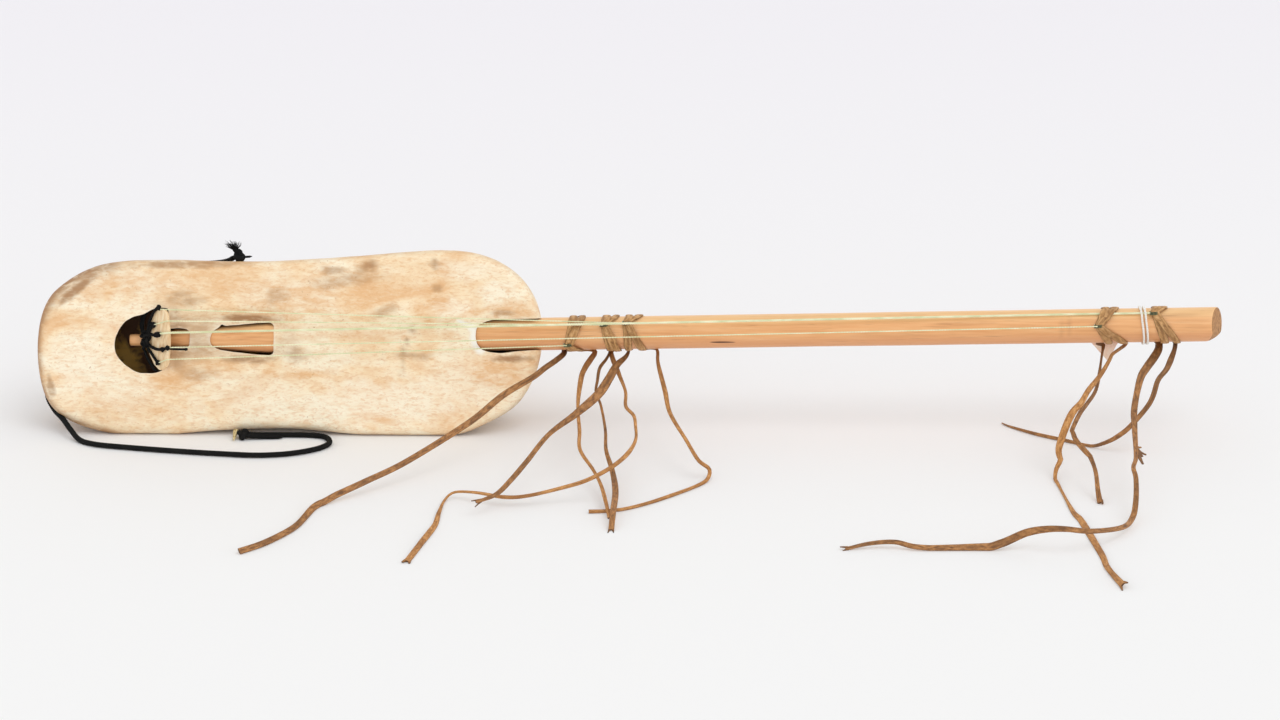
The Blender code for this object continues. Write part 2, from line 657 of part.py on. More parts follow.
# Strings, from their anchor cords over the fan's edge to their rings
for i, ((across, up), edge, k, at_ring, radius) in enumerate(STRINGS):
    radius = radius * MM
    off = FAN_THICKNESS / 2 + FIT + radius
    begin = fan_point(across * MM, up * MM, face_off + ANCHOR_RADIUS * (ANCHOR_KNOT - 1))
    over = fan_point(edge * MM, FAN_LENGTH + 0.6 * radius, FAN_THICKNESS / 2 + FIT + 0.9 * radius)
    way = (over - begin).normalized()
    points = [begin + way * STRING_START, over]
    points.append(over + Vector((0.8 * radius, 0, 1.2 * MM)))
    place, side = RINGS[k - 1][0] * MM, at_ring * MM
    if i + 1 == HELD_STRING:
        held = neck_radius(HELD_FROM_X - NECK_TIP_X) + HELD_ROOM + radius
        points.append(neck_point(HELD_FROM_X, side, math.sqrt(held ** 2 - side ** 2)))
        far = neck_radius(NUT_X - NECK_TIP_X) + HELD_ROOM + radius
        points.append(neck_point(NUT_X + NUT_PITCH + 2 * MM, side, math.sqrt(far ** 2 - side ** 2)))
        points.append(neck_point(HELD_KNOT_X - 1.6 * MM, side, math.sqrt(HELD_KNOT_OUT ** 2 - side ** 2)))
        points.append(neck_point(HELD_KNOT_X, side, math.sqrt(HELD_KNOT_OUT ** 2 - side ** 2)))
        points.append(neck_point(HELD_KNOT_X + 0.8 * MM, side, math.sqrt(HELD_KNOT_OUT ** 2 - side ** 2)))
    else:
        out = math.sqrt(STRING_END_RADIUS ** 2 - side ** 2)
        points.append(neck_point(place - 1.8 * MM, side, out))
        points.append(neck_point(place, side, out))
        points.append(neck_point(place + 1 * MM, side, out))
    sizes = [1] * len(points)
    sizes[-2] = STRING_KNOT / radius
    sizes[-1] = 0.6 * STRING_KNOT / radius
    tube("string_%d" % (i + 1), points, radius, NYLON, neck_line, sizes)


def held_angle(x):
    """Where the held string lies round the neck, in degrees from the front."""
    across, radius = STRINGS[HELD_STRING - 1][3:]
    return math.degrees(math.asin(across * MM / (neck_radius(x - NECK_TIP_X) + HELD_ROOM + radius * MM)))


def winding(k):
    """The thong's middle line, twice round the neck, with its point towards the bridge."""
    place, side, rises, falls, start = RINGS[k - 1]
    base = neck_radius(place * MM - NECK_TIP_X) + FIT + LACE_THICKNESS / 2
    reach = base / MM

    def leg(y, turn):
        if y > side:
            return rises[turn] * (y - side) / (reach - side)
        return falls[turn] * (side - y) / (reach + side)

    points = []
    steps = round((start - RING_END_ANGLE) / 360 * TURN_POINTS)
    for i in range(steps + 1):
        angle = start + (RING_END_ANGLE - start) * i / steps
        radius = base
        if angle > 90:
            place_now = rises[0] * (start - angle) / (start - 90)
        elif -270 < angle < -90:
            place_now = falls[0] + (rises[1] - falls[0]) * (-90 - angle) / 180
        else:
            turn = 0 if angle >= -90 else 1
            y = reach * math.sin(math.radians(angle))
            place_now = leg(y, turn)
            if turn == 1:
                apart = abs(place_now - leg(y, 0)) * MM
                share = (LACE_APART - apart) / (LACE_APART - LACE_CLOSE)
                radius = base + LACE_LAYER * min(1, max(0, share))
            if k == RING_OVER_STRING:
                off = abs((angle + 360 if turn else angle) - held_angle(place * MM))
                radius = max(radius, base + HELD_RISE * min(1, max(0, (19 - off) / 9)))
        points.append(turned_point(place_now * MM, angle, radius))
    return points


def gap_to_itself(points, thickness, apart):
    """The least distance between turns that lie more than a number of points apart."""
    least = 1
    for i, p in enumerate(points):
        for j in range(i + apart, len(points)):
            least = min(least, (points[j] - p).length)
    return least - thickness


thong = bpy.data.curves.new("thong section", "CURVE")
thong.dimensions = "2D"
section = thong.splines.new("POLY")
half_wide, half_thick = LACE_WIDTH / 2, LACE_THICKNESS / 2
corners = [(1, 0.8), (1, -0.8), (0.5, -1), (-0.5, -1), (-1, -0.8), (-1, 0.8), (-0.5, 1), (0.5, 1)]
section.points.add(len(corners) - 1)
for i, (x, y) in enumerate(corners):
    section.points[i].co = (x * half_thick, y * half_wide, 0, 1)
section.use_cyclic_u = True
thong_object = bpy.data.objects.new("thong section", thong)
cutters.objects.link(thong_object)
thong_object.hide_render = True

slides = {}
for k, (place, side, rises, falls, start) in enumerate(RINGS, 1):
    slide = empty("ring_%d_slide" % k, Matrix.Translation((0, 0, place * MM - NECK_TIP_X)), neck_line)
    slides[k] = slide
    points = winding(k)
    print("ring", k, "least gap to itself, mm: %.2f" % (gap_to_itself(points, LACE_THICKNESS, 12) / MM))
    made = tube("tuning_lace_%d" % k, points, 0, LEATHER, slide)
    made.data.bevel_mode = "OBJECT"
    made.data.bevel_object = thong_object
    made.data.twist_mode = "Z_UP"

# Nut binding over the held string
nut = []
steps = NUT_TURNS * TURN_POINTS
for i in range(steps + 1):
    angle = 200 + 360 * i / TURN_POINTS
    off = abs((angle - held_angle(NUT_X) + 180) % 360 - 180)
    radius = neck_radius(NUT_X - NECK_TIP_X) + FIT + NUT_THREAD
    radius += HELD_RISE * min(1, max(0, (22 - off) / 13))
    place_now = NUT_X - NECK_TIP_X + NUT_PITCH * i / TURN_POINTS - NUT_SLANT * math.sin(math.radians(angle))
    nut.append(turned_point(place_now, angle, radius))
print("nut binding least gap to itself, mm: %.2f" % (gap_to_itself(nut, 2 * NUT_THREAD, 12) / MM))
tube("nut_binding", nut, NUT_THREAD, THREAD, neck_line, resolution=1)

# Free ends of the laces, in the floor frame, each carried by its ring
for k, end, route in TAILS:
    points = winding(k)
    edge = points[-1] if end else points[0]
    outward = Vector((edge.x, edge.y, 0)).normalized() * (LACE_THICKNESS / 2 + TAIL_GAPS[end] + TAIL_RADIUS)
    slide_matrix = STANCE @ NECK @ Matrix.Translation((0, 0, RINGS[k - 1][0] * MM - NECK_TIP_X))
    begin = slide_matrix @ (edge + outward)
    beside = Vector((RINGS[k - 1][0], 0, 0))
    line = evenly([begin] + [(beside + Vector(p)) * MM for p in route], TAIL_SPACING)
    tail = tube("lace_%d_%s" % (k, "ab"[end]), line, TAIL_RADIUS, LEATHER, slides[k])
    tail.matrix_parent_inverse = slide_matrix.inverted()

# Hide flap under the fourth ring
FLAT = Matrix.Translation((0, FLAP_DEPTH, 0)) @ Matrix.Rotation(math.radians(90), 4, "X")
flap_outline = [((RINGS[3][0] + x) * MM, z * MM) for x, z in FLAP_CORNERS]
flap = flat("hide_flap", flap_outline, FLAP_THICKNESS, PINK, None, FLAT)
flap.parent = slides[4]
flap.matrix_parent_inverse = (STANCE @ NECK @ slides[4].matrix_local).inverted()
flap.matrix_basis = FLAT

# Carrying cord: on the floor, round the tail end and along the top
wall = []
wall_inset = (CORD_WALL_DEPTH - RIM_RADIUS) * math.tan(LEAN) - (CORD_RADIUS + CORD_WALL_GAP) / math.cos(LEAN)
for step in CORD_WALL_STEPS:
    wall.append(STANCE @ ring(wall_inset, CORD_WALL_DEPTH)[step % len(BORDER)])


def beside_knot(knot, radii, point):
    """Where the cord ends by a knot that it reaches from a point."""
    way = (Vector(point) - Vector(knot)).normalized()
    return Vector(knot) * MM + way * (radii[0] * MM + FIT)


from_knot = beside_knot(LOWER_KNOT, LOWER_KNOT_RADII, CORD_FLOOR[0])
to_knot = beside_knot(UPPER_KNOT, UPPER_KNOT_RADII, CORD_TOP)
line = [from_knot] + [Vector(p) * MM for p in CORD_FLOOR] + wall + [Vector(CORD_TOP) * MM, to_knot]
tube("carrying_cord", evenly(line, CORD_SPACING), CORD_RADIUS, BLACK, root)
ball("lower_cord_knot", Vector(LOWER_KNOT) * MM, Vector(LOWER_KNOT_RADII) * MM, BLACK, root)
ball("upper_cord_knot", Vector(UPPER_KNOT) * MM, Vector(UPPER_KNOT_RADII) * MM, BLACK, root)
tube("cord_peg", [Vector(CORD_PEG_FROM) * MM, Vector(CORD_PEG_TO) * MM], MM, PALE, root, CORD_PEG_RADII)

# The frame's origin lies under the middle of the instrument's box, its loose cords left out
loose = ("lace_", "carrying_cord", "lower_cord_knot", "upper_cord_knot")
bpy.context.view_layer.update()
graph = bpy.context.evaluated_depsgraph_get()
low = Vector((1, 1, 1))
high = -low
for thing in parts.objects:
    if thing.type == "EMPTY" or thing.name.startswith(loose):
        continue
    found = thing.evaluated_get(graph)
    mesh = found.to_mesh()
    for v in mesh.vertices:
        p = found.matrix_world @ v.co
        low = Vector(map(min, low, p))
        high = Vector(map(max, high, p))
    found.to_mesh_clear()
root.location = (-(low.x + high.x) / 2, -(low.y + high.y) / 2, 0)
print("box, mm:", [round(v / MM, 1) for v in (*low, *high)], "frame moved by", [round(v / MM, 3) for v in root.location])
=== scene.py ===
"""A small five-string ngoni standing on its lower side on a pale floor."""
import math
import random

import bmesh
import bpy
from mathutils import Matrix, Vector, noise


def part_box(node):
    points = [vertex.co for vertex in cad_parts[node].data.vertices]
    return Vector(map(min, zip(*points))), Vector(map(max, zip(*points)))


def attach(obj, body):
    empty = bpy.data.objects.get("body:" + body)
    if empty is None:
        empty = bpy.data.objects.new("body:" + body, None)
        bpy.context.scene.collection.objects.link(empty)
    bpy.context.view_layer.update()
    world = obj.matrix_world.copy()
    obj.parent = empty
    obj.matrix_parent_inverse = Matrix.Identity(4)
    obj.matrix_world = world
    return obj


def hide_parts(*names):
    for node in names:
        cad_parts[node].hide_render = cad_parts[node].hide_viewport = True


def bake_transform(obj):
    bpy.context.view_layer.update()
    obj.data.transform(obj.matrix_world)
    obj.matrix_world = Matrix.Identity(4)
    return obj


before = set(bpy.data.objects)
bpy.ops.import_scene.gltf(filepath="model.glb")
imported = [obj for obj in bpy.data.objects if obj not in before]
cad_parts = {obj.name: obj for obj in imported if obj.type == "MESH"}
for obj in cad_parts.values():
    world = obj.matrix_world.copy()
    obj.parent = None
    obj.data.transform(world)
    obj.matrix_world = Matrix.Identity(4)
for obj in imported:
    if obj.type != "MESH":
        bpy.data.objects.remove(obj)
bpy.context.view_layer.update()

# Camera. A long lens looks down at the lute's face from a little above, along the whole stick.
MM = 0.001
TAIL_END = Vector((-0.446566, -0.021775, 0))


def by_tail_end(x, y, z):
    """A place given in millimetres from the body's tail end on the floor."""
    return Vector((x, y, z)) * MM + TAIL_END


camera = bpy.data.objects.new("camera", bpy.data.cameras.new("camera"))
bpy.context.scene.collection.objects.link(camera)
camera.data.sensor_width = 36
camera.data.lens = 112.5
lift, turn = math.radians(20), math.radians(0.85)
toward = Vector((math.sin(turn) * math.cos(lift), -math.cos(turn) * math.cos(lift), math.sin(lift)))
camera.location = by_tail_end(454.6, 0, 57.5) + toward * 3.024
camera.rotation_euler = toward.to_track_quat("Z", "Y").to_euler()
camera.data.clip_end = 20
bpy.context.scene.camera = camera


# Tuning rings. Each is one thong of brown leather, cut by hand and wound twice round the stick, with its
# point towards the bridge where the string pulls it. Its two turns partly cover each other.
LEAN = math.radians(15)
BODY = Matrix.Translation(by_tail_end(0, 0, 67.495)) @ Matrix.Rotation(-LEAN, 4, "X")
NECK_TIP, NECK_LENGTH = 67, 822
NECK_DROP, NECK_RISE = 0.0087, 0.02043
NECK_RADII = [(0, 4.5), (12, 4.6), (39.5, 7.4), (67, 8.7), (105, 11.3), (183, 12.3), (822, 13.0)]


def neck_depth(x):
    """How far behind the face the neck's middle lies, at a place along the body."""
    return 9.27 - NECK_DROP * (x - 503.7)


def neck_height(x):
    """How far across the face the neck's middle lies, at a place along the body."""
    return 11.64 + NECK_RISE * (x - 503.7)


def neck_radius(x):
    place = x - NECK_TIP
    for (z0, r0), (z1, r1) in zip(NECK_RADII, NECK_RADII[1:]):
        if place <= z1:
            return r0 + (r1 - r0) * (place - z0) / (z1 - z0)
    return NECK_RADII[-1][1]


neck_way = Vector((1, -NECK_DROP, NECK_RISE)).normalized()
neck_front = (Vector((0, -1, 0)) + neck_way * neck_way.y).normalized()
NECK = BODY @ Matrix.Translation(Vector((NECK_TIP, neck_depth(NECK_TIP), neck_height(NECK_TIP))) * MM)
NECK = NECK @ Matrix((neck_front, neck_way.cross(neck_front), neck_way)).transposed().to_4x4()


def round_neck(x, angle, radius):
    """A point round the neck, at an angle from its front upwards, in millimetres."""
    angle = math.radians(angle)
    return NECK @ (Vector((radius * math.cos(angle), -radius * math.sin(angle), x - NECK_TIP)) * MM)


def by_neck(x, across, out):
    """A point by the neck: along the body, across the face, and out of it from the neck's middle."""
    return NECK @ (Vector((out, -across, x - NECK_TIP)) * MM)


def ease(t):
    """A smooth step from 0 to 1."""
    t = min(1, max(0, t))
    return t * t * (3 - 2 * t)


def headings(line):
    """The way a line goes at each of its points."""
    last = len(line) - 1
    return [(line[min(i + 1, last)] - line[max(i - 1, 0)]).normalized() for i in range(last + 1)]


def lay_strand(bm, line, sides, section_at, look_of=None):
    """Adds a closed strip or cord along a line; sides are the ways of its section's first axis."""
    grid = bm.loops.layers.uv.verify()
    rows, far, faces = [], [0.0], []
    for i, (p, side, way) in enumerate(zip(line, sides, headings(line))):
        side = (side - way * side.dot(way)).normalized()
        up = way.cross(side)
        rows.append([bm.verts.new(p + side * a + up * b) for a, b in section_at(i)])
        if i:
            far.append(far[-1] + (p - line[i - 1]).length)
    count = len(rows[0])
    for i in range(len(rows) - 1):
        for j in range(count):
            k = (j + 1) % count
            face = bm.faces.new((rows[i][j], rows[i][k], rows[i + 1][k], rows[i + 1][j]))
            face.smooth = True
            face.material_index = look_of(j) if look_of else 0
            for loop, (row, column) in zip(face.loops, ((i, j), (i, j + 1), (i + 1, j + 1), (i + 1, j))):
                loop[grid].uv = (far[row] * 10, column / count)
            faces.append(face)
    faces.append(bm.faces.new(list(reversed(rows[0]))))
    faces.append(bm.faces.new(rows[-1]))
    bmesh.ops.recalc_face_normals(bm, faces=faces)

def press_on_floor(bm):
    """Presses flat what would reach below the floor."""
    for corner in bm.verts:
        corner.co.z = max(corner.co.z, 0.05 * MM)
def as_piece(name, bm, looks, node=None, body="body", sharp=60):
    """Makes an object of the mesh, rides it on its body and lets it stand for its plain solid."""
    mesh = bpy.data.meshes.new(name)
    bm.to_mesh(mesh)
    bm.free()
    for look in looks:
        mesh.materials.append(look)
    mesh.set_sharp_from_angle(angle=math.radians(sharp))
    made = bpy.data.objects.new(name, mesh)
    bpy.context.scene.collection.objects.link(made)
    if node:
        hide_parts(node)
    if body:
        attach(made, body)
    return made


def new_finish(name, roughness):
    made = bpy.data.materials.new(name)
    made.use_nodes = True
    made.node_tree.nodes["Principled BSDF"].inputs["Roughness"].default_value = roughness
    return made


def join(finish, value, socket):
    """Sets a socket to a value, or links it to another node's output."""
    if isinstance(value, bpy.types.NodeSocket):
        finish.node_tree.links.new(value, socket)
    else:
        socket.default_value = value


def put(finish, kind, settings=None, **inputs):
    """Adds a node to a finish, with its settings and inputs."""
    made = finish.node_tree.nodes.new("ShaderNode" + kind)
    for name, value in (settings or {}).items():
        setattr(made, name, value)
    for name, value in inputs.items():
        join(finish, value, made.inputs[name.replace("_", " ")])
    return made


def place_of(finish, stretch=(1, 1, 1)):
    """The place on the piece, stretched for grain that runs one way."""
    where = put(finish, "TexCoord").outputs["Object"]
    return put(finish, "Mapping", Vector=where, Scale=stretch).outputs["Vector"]


def clouds(finish, where, scale, detail=5, distortion=0.0):
    """A cloudy pattern between 0 and 1, with a number of clouds to a metre."""
    return put(finish, "TexNoise", Vector=where, Scale=scale, Detail=detail, Distortion=distortion).outputs["Fac"]


def shades(finish, value, *stops):
    """Colours picked by a value, from pairs of a place and a colour."""
    made = put(finish, "ValToRGB", Fac=value)
    ends = made.color_ramp.elements
    for i, (place, colour) in enumerate(stops):
        stop = ends[i] if i < 2 else ends.new(place)
        stop.position = place
        stop.color = (*colour, 1)
    return made.outputs["Color"]


def over(finish, share, below, above, way="MIX"):
    """One colour laid over another by a share."""
    made = put(finish, "Mix", {"data_type": "RGBA", "blend_type": way})
    join(finish, share, made.inputs[0])
    join(finish, below if isinstance(below, bpy.types.NodeSocket) else (*below, 1), made.inputs[6])
    join(finish, above if isinstance(above, bpy.types.NodeSocket) else (*above, 1), made.inputs[7])
    return made.outputs[2]


def sharper(finish, value, gain, lift):
    """A pattern made stronger: its value times a gain and lifted, kept between 0 and 1."""
    made = put(finish, "Math", {"operation": "MULTIPLY_ADD", "use_clamp": True})
    for socket, given in zip(made.inputs, (value, gain, lift)):
        join(finish, given, socket)
    return made.outputs[0]


def times(finish, first, second):
    made = put(finish, "Math", {"operation": "MULTIPLY", "use_clamp": True})
    join(finish, first, made.inputs[0])
    join(finish, second, made.inputs[1])
    return made.outputs[0]


def raised(finish, height, depth, below=None):
    """A surface raised by a pattern to a depth in metres, over another such surface."""
    made = put(finish, "Bump", Height=height, Distance=depth, Strength=1.0)
    if below:
        finish.node_tree.links.new(below, made.inputs["Normal"])
    return made.outputs["Normal"]


def dress(finish, colour, normal, roughness=None):
    shader = finish.node_tree.nodes["Principled BSDF"]
    finish.node_tree.links.new(colour, shader.inputs["Base Color"])
    finish.node_tree.links.new(normal, shader.inputs["Normal"])
    if roughness:
        finish.node_tree.links.new(roughness, shader.inputs["Roughness"])
    return finish


def leather(name, dark, middle, light, roughness, painted_shade_by_neck=0.0):
    """Thong leather: streaks along the strip, worn dark patches, pores, cut edges, and painted shade near the neck,
    where the neck shades the laces' starts.
    """
    made = new_finish(name, roughness)
    strip = put(made, "UVMap").outputs["UV"]
    streaks = clouds(made, put(made, "Mapping", Vector=strip, Scale=(9, 5, 1)).outputs["Vector"], 2.0, 6, 0.6)
    place = place_of(made)
    patches = clouds(made, place, 45, 4)
    pores = clouds(made, place, 1300, 3)
    colour = shades(made, streaks, (0.3, dark), (0.5, middle), (0.72, light))
    colour = over(made, sharper(made, patches, 3.2, -1.5), colour, dark)
    colour = over(made, sharper(made, pores, 2.2, -1.15), colour, tuple(0.5 * c for c in dark))
    along, around = (put(made, "SeparateXYZ", Vector=strip).outputs[axis] for axis in "XY")
    # painted shade: the first 80 mm or so from the neck are darkened, where the neck shades them
    colour = over(made, times(made, painted_shade_by_neck, sharper(made, along, -1.6, 1.3)), colour, tuple(0.7 * c for c in dark))
    black, white = (0, 0, 0), (1, 1, 1)
    cut_edge = shades(made, around, (0.0, white), (0.11, black), (0.4, black), (0.5, white), (0.6, black), (0.9, black),
                      (1.0, white))
    colour = over(made, times(made, cut_edge, 0.7), colour, tuple(0.7 * c for c in dark))
    return dress(made, colour, raised(made, streaks, 0.0004, raised(made, pores, 0.00015)))


GRAIN_SIDE = leather("thong leather, outer side", (0.14, 0.055, 0.014), (0.35, 0.15, 0.04), (0.57, 0.27, 0.09), 0.55, 0.6)
FLESH_SIDE = leather("thong leather, inner side", (0.29, 0.12, 0.035), (0.53, 0.24, 0.07), (0.75, 0.41, 0.16), 0.75, 0.6)
WOUND_SIDE = leather("thong leather, wound", (0.26, 0.12, 0.036), (0.54, 0.285, 0.10), (0.78, 0.48, 0.225), 0.6)


def thong_section(width, thick, cup=0.0):
    """A thong's cross-section in metres: flat, with rounded edges, a little hollow. Its outer half comes first."""
    half = ((0.5, 0), (0.45, 0.4), (0.2, 0.5), (-0.2, 0.5), (-0.45, 0.4))
    corners = half + tuple((-a, -b) for a, b in half)
    return [(a * width, b * thick + cup * (4 * a * a - 0.5)) for a, b in corners]


def outer_first(j):
    return 0 if j < 5 else 1


# Of each ring: the place its laces are measured from, how far beyond it its point lies, the place of its point
# across the face, its rises to the two crossings above and below, and the angle that it starts at
RINGS = [
    (397, 3.4, -7.9, (4.2, 11), (1.0, 8.8), 235),
    (423.5, 4.5, 7.3, (1.6, 9.1), (3.9, 9.6), 235),
    (441, 4.0, 8.4, (1.6, 9.6), (0.7, 11.5), 235),
    (797.3, 2.5, 0.8, (6.8, 13.5), (9, 20.5), 250),
    (841, 1.0, 9.8, (1.6, 8), (8.6, 18), 235),
]
RING_END = -470
RING_STEPS = 44
RING_WIDTH, RING_THICK = 5.8, 0.9
RING_ON_STRING, HELD_ANGLE, HELD_RISE = 4, 43.1, 2.3
# the ring by the thread starts further on behind the stick, which leaves it room to slide
RING_BY_THREAD, STARTS_AHEAD = 5, 2.6


def winding(k):
    """A ring's middle line, twice round the neck: places beyond its place, angles and radii."""
    place, shift, side, rises, falls, start = RINGS[k - 1]
    base = neck_radius(place) + 0.8

    def leg(y, turn):
        if y > side:
            return rises[turn] * (y - side) / (base - side)
        return falls[turn] * (side - y) / (base + side)

    out = []
    steps = round((start - RING_END) / 360 * RING_STEPS)
    for i in range(steps + 1):
        angle = start + (RING_END - start) * i / steps
        radius = base
        if angle > 90:
            along = rises[0] * (start - angle) / (start - 90)
            if k == RING_BY_THREAD:
                along += STARTS_AHEAD * (angle - 90) / (start - 90)
        elif -270 < angle < -90:
            along = falls[0] + (rises[1] - falls[0]) * (-90 - angle) / 180
        else:
            turn = 0 if angle >= -90 else 1
            y = base * math.sin(math.radians(angle))
            along = leg(y, turn)
            if turn:
                radius = base + 1.45 * min(1, max(0, (RING_WIDTH + 0.3 - abs(along - leg(y, 0))) / 1.5))
        if k == RING_ON_STRING and angle <= 90 and not -270 < angle < -90:
            off = abs((angle + 360 if angle < -90 else angle) - HELD_ANGLE)
            radius = max(radius, base + HELD_RISE * min(1, max(0, (19 - off) / 9)))
        out.append((shift + along, angle, radius))
    return out


for k, ring in enumerate(RINGS, 1):
    place, turns = ring[0], winding(k)
    line = [round_neck(place + along, angle, radius) for along, angle, radius in turns]
    middle = [round_neck(place + along, 0, 0) for along, angle, radius in turns]
    sides = [(p - m).cross(way).normalized() for way, p, m in zip(headings(line), line, middle)]
    wave = random.Random(10 + k).uniform(0, 6)

    def ring_section(i):
        width = RING_WIDTH * (1 + 0.1 * math.sin(i * 0.23 + wave) + 0.05 * math.sin(i * 0.7 + 2 * wave))
        return thong_section(width * MM, RING_THICK * MM, -0.3 * MM)

    bm = bmesh.new()
    lay_strand(bm, line, sides, ring_section, outer_first)
    as_piece("tuning_ring_%d" % k, bm, [WOUND_SIDE, GRAIN_SIDE], "tuning_lace_%d" % k, "ring_%d" % k)


# Free ends of the laces. Each ring's thong leaves two long ends under the neck; stiff with age, they
# spring forward in curves, twist a little and lie on the floor.
def smooth_line(points, spacing):
    """A smooth line through the given points, read at even distances, and its length."""
    fine, last = [], len(points) - 1
    for i in range(last):
        a, b, c, d = (points[min(max(i + k, 0), last)] for k in (-1, 0, 1, 2))
        for step in range(24):
            t = step / 24
            fine.append(0.5 * (2 * b + (c - a) * t + (2 * a - 5 * b + 4 * c - d) * t ** 2
                               + (3 * b - a - 3 * c + d) * t ** 3))
    fine.append(points[-1])
    far = [0.0]
    for a, b in zip(fine, fine[1:]):
        far.append(far[-1] + (b - a).length)
    count = max(3, round(far[-1] / spacing))
    out, j = [], 0
    for i in range(count + 1):
        goal = far[-1] * i / count
        while j < len(fine) - 2 and far[j + 1] < goal:
            j += 1
        share = (goal - far[j]) / max(far[j + 1] - far[j], 1e-9)
        out.append(fine[j].lerp(fine[j + 1], min(max(share, 0), 1)))
    return out, far[-1]


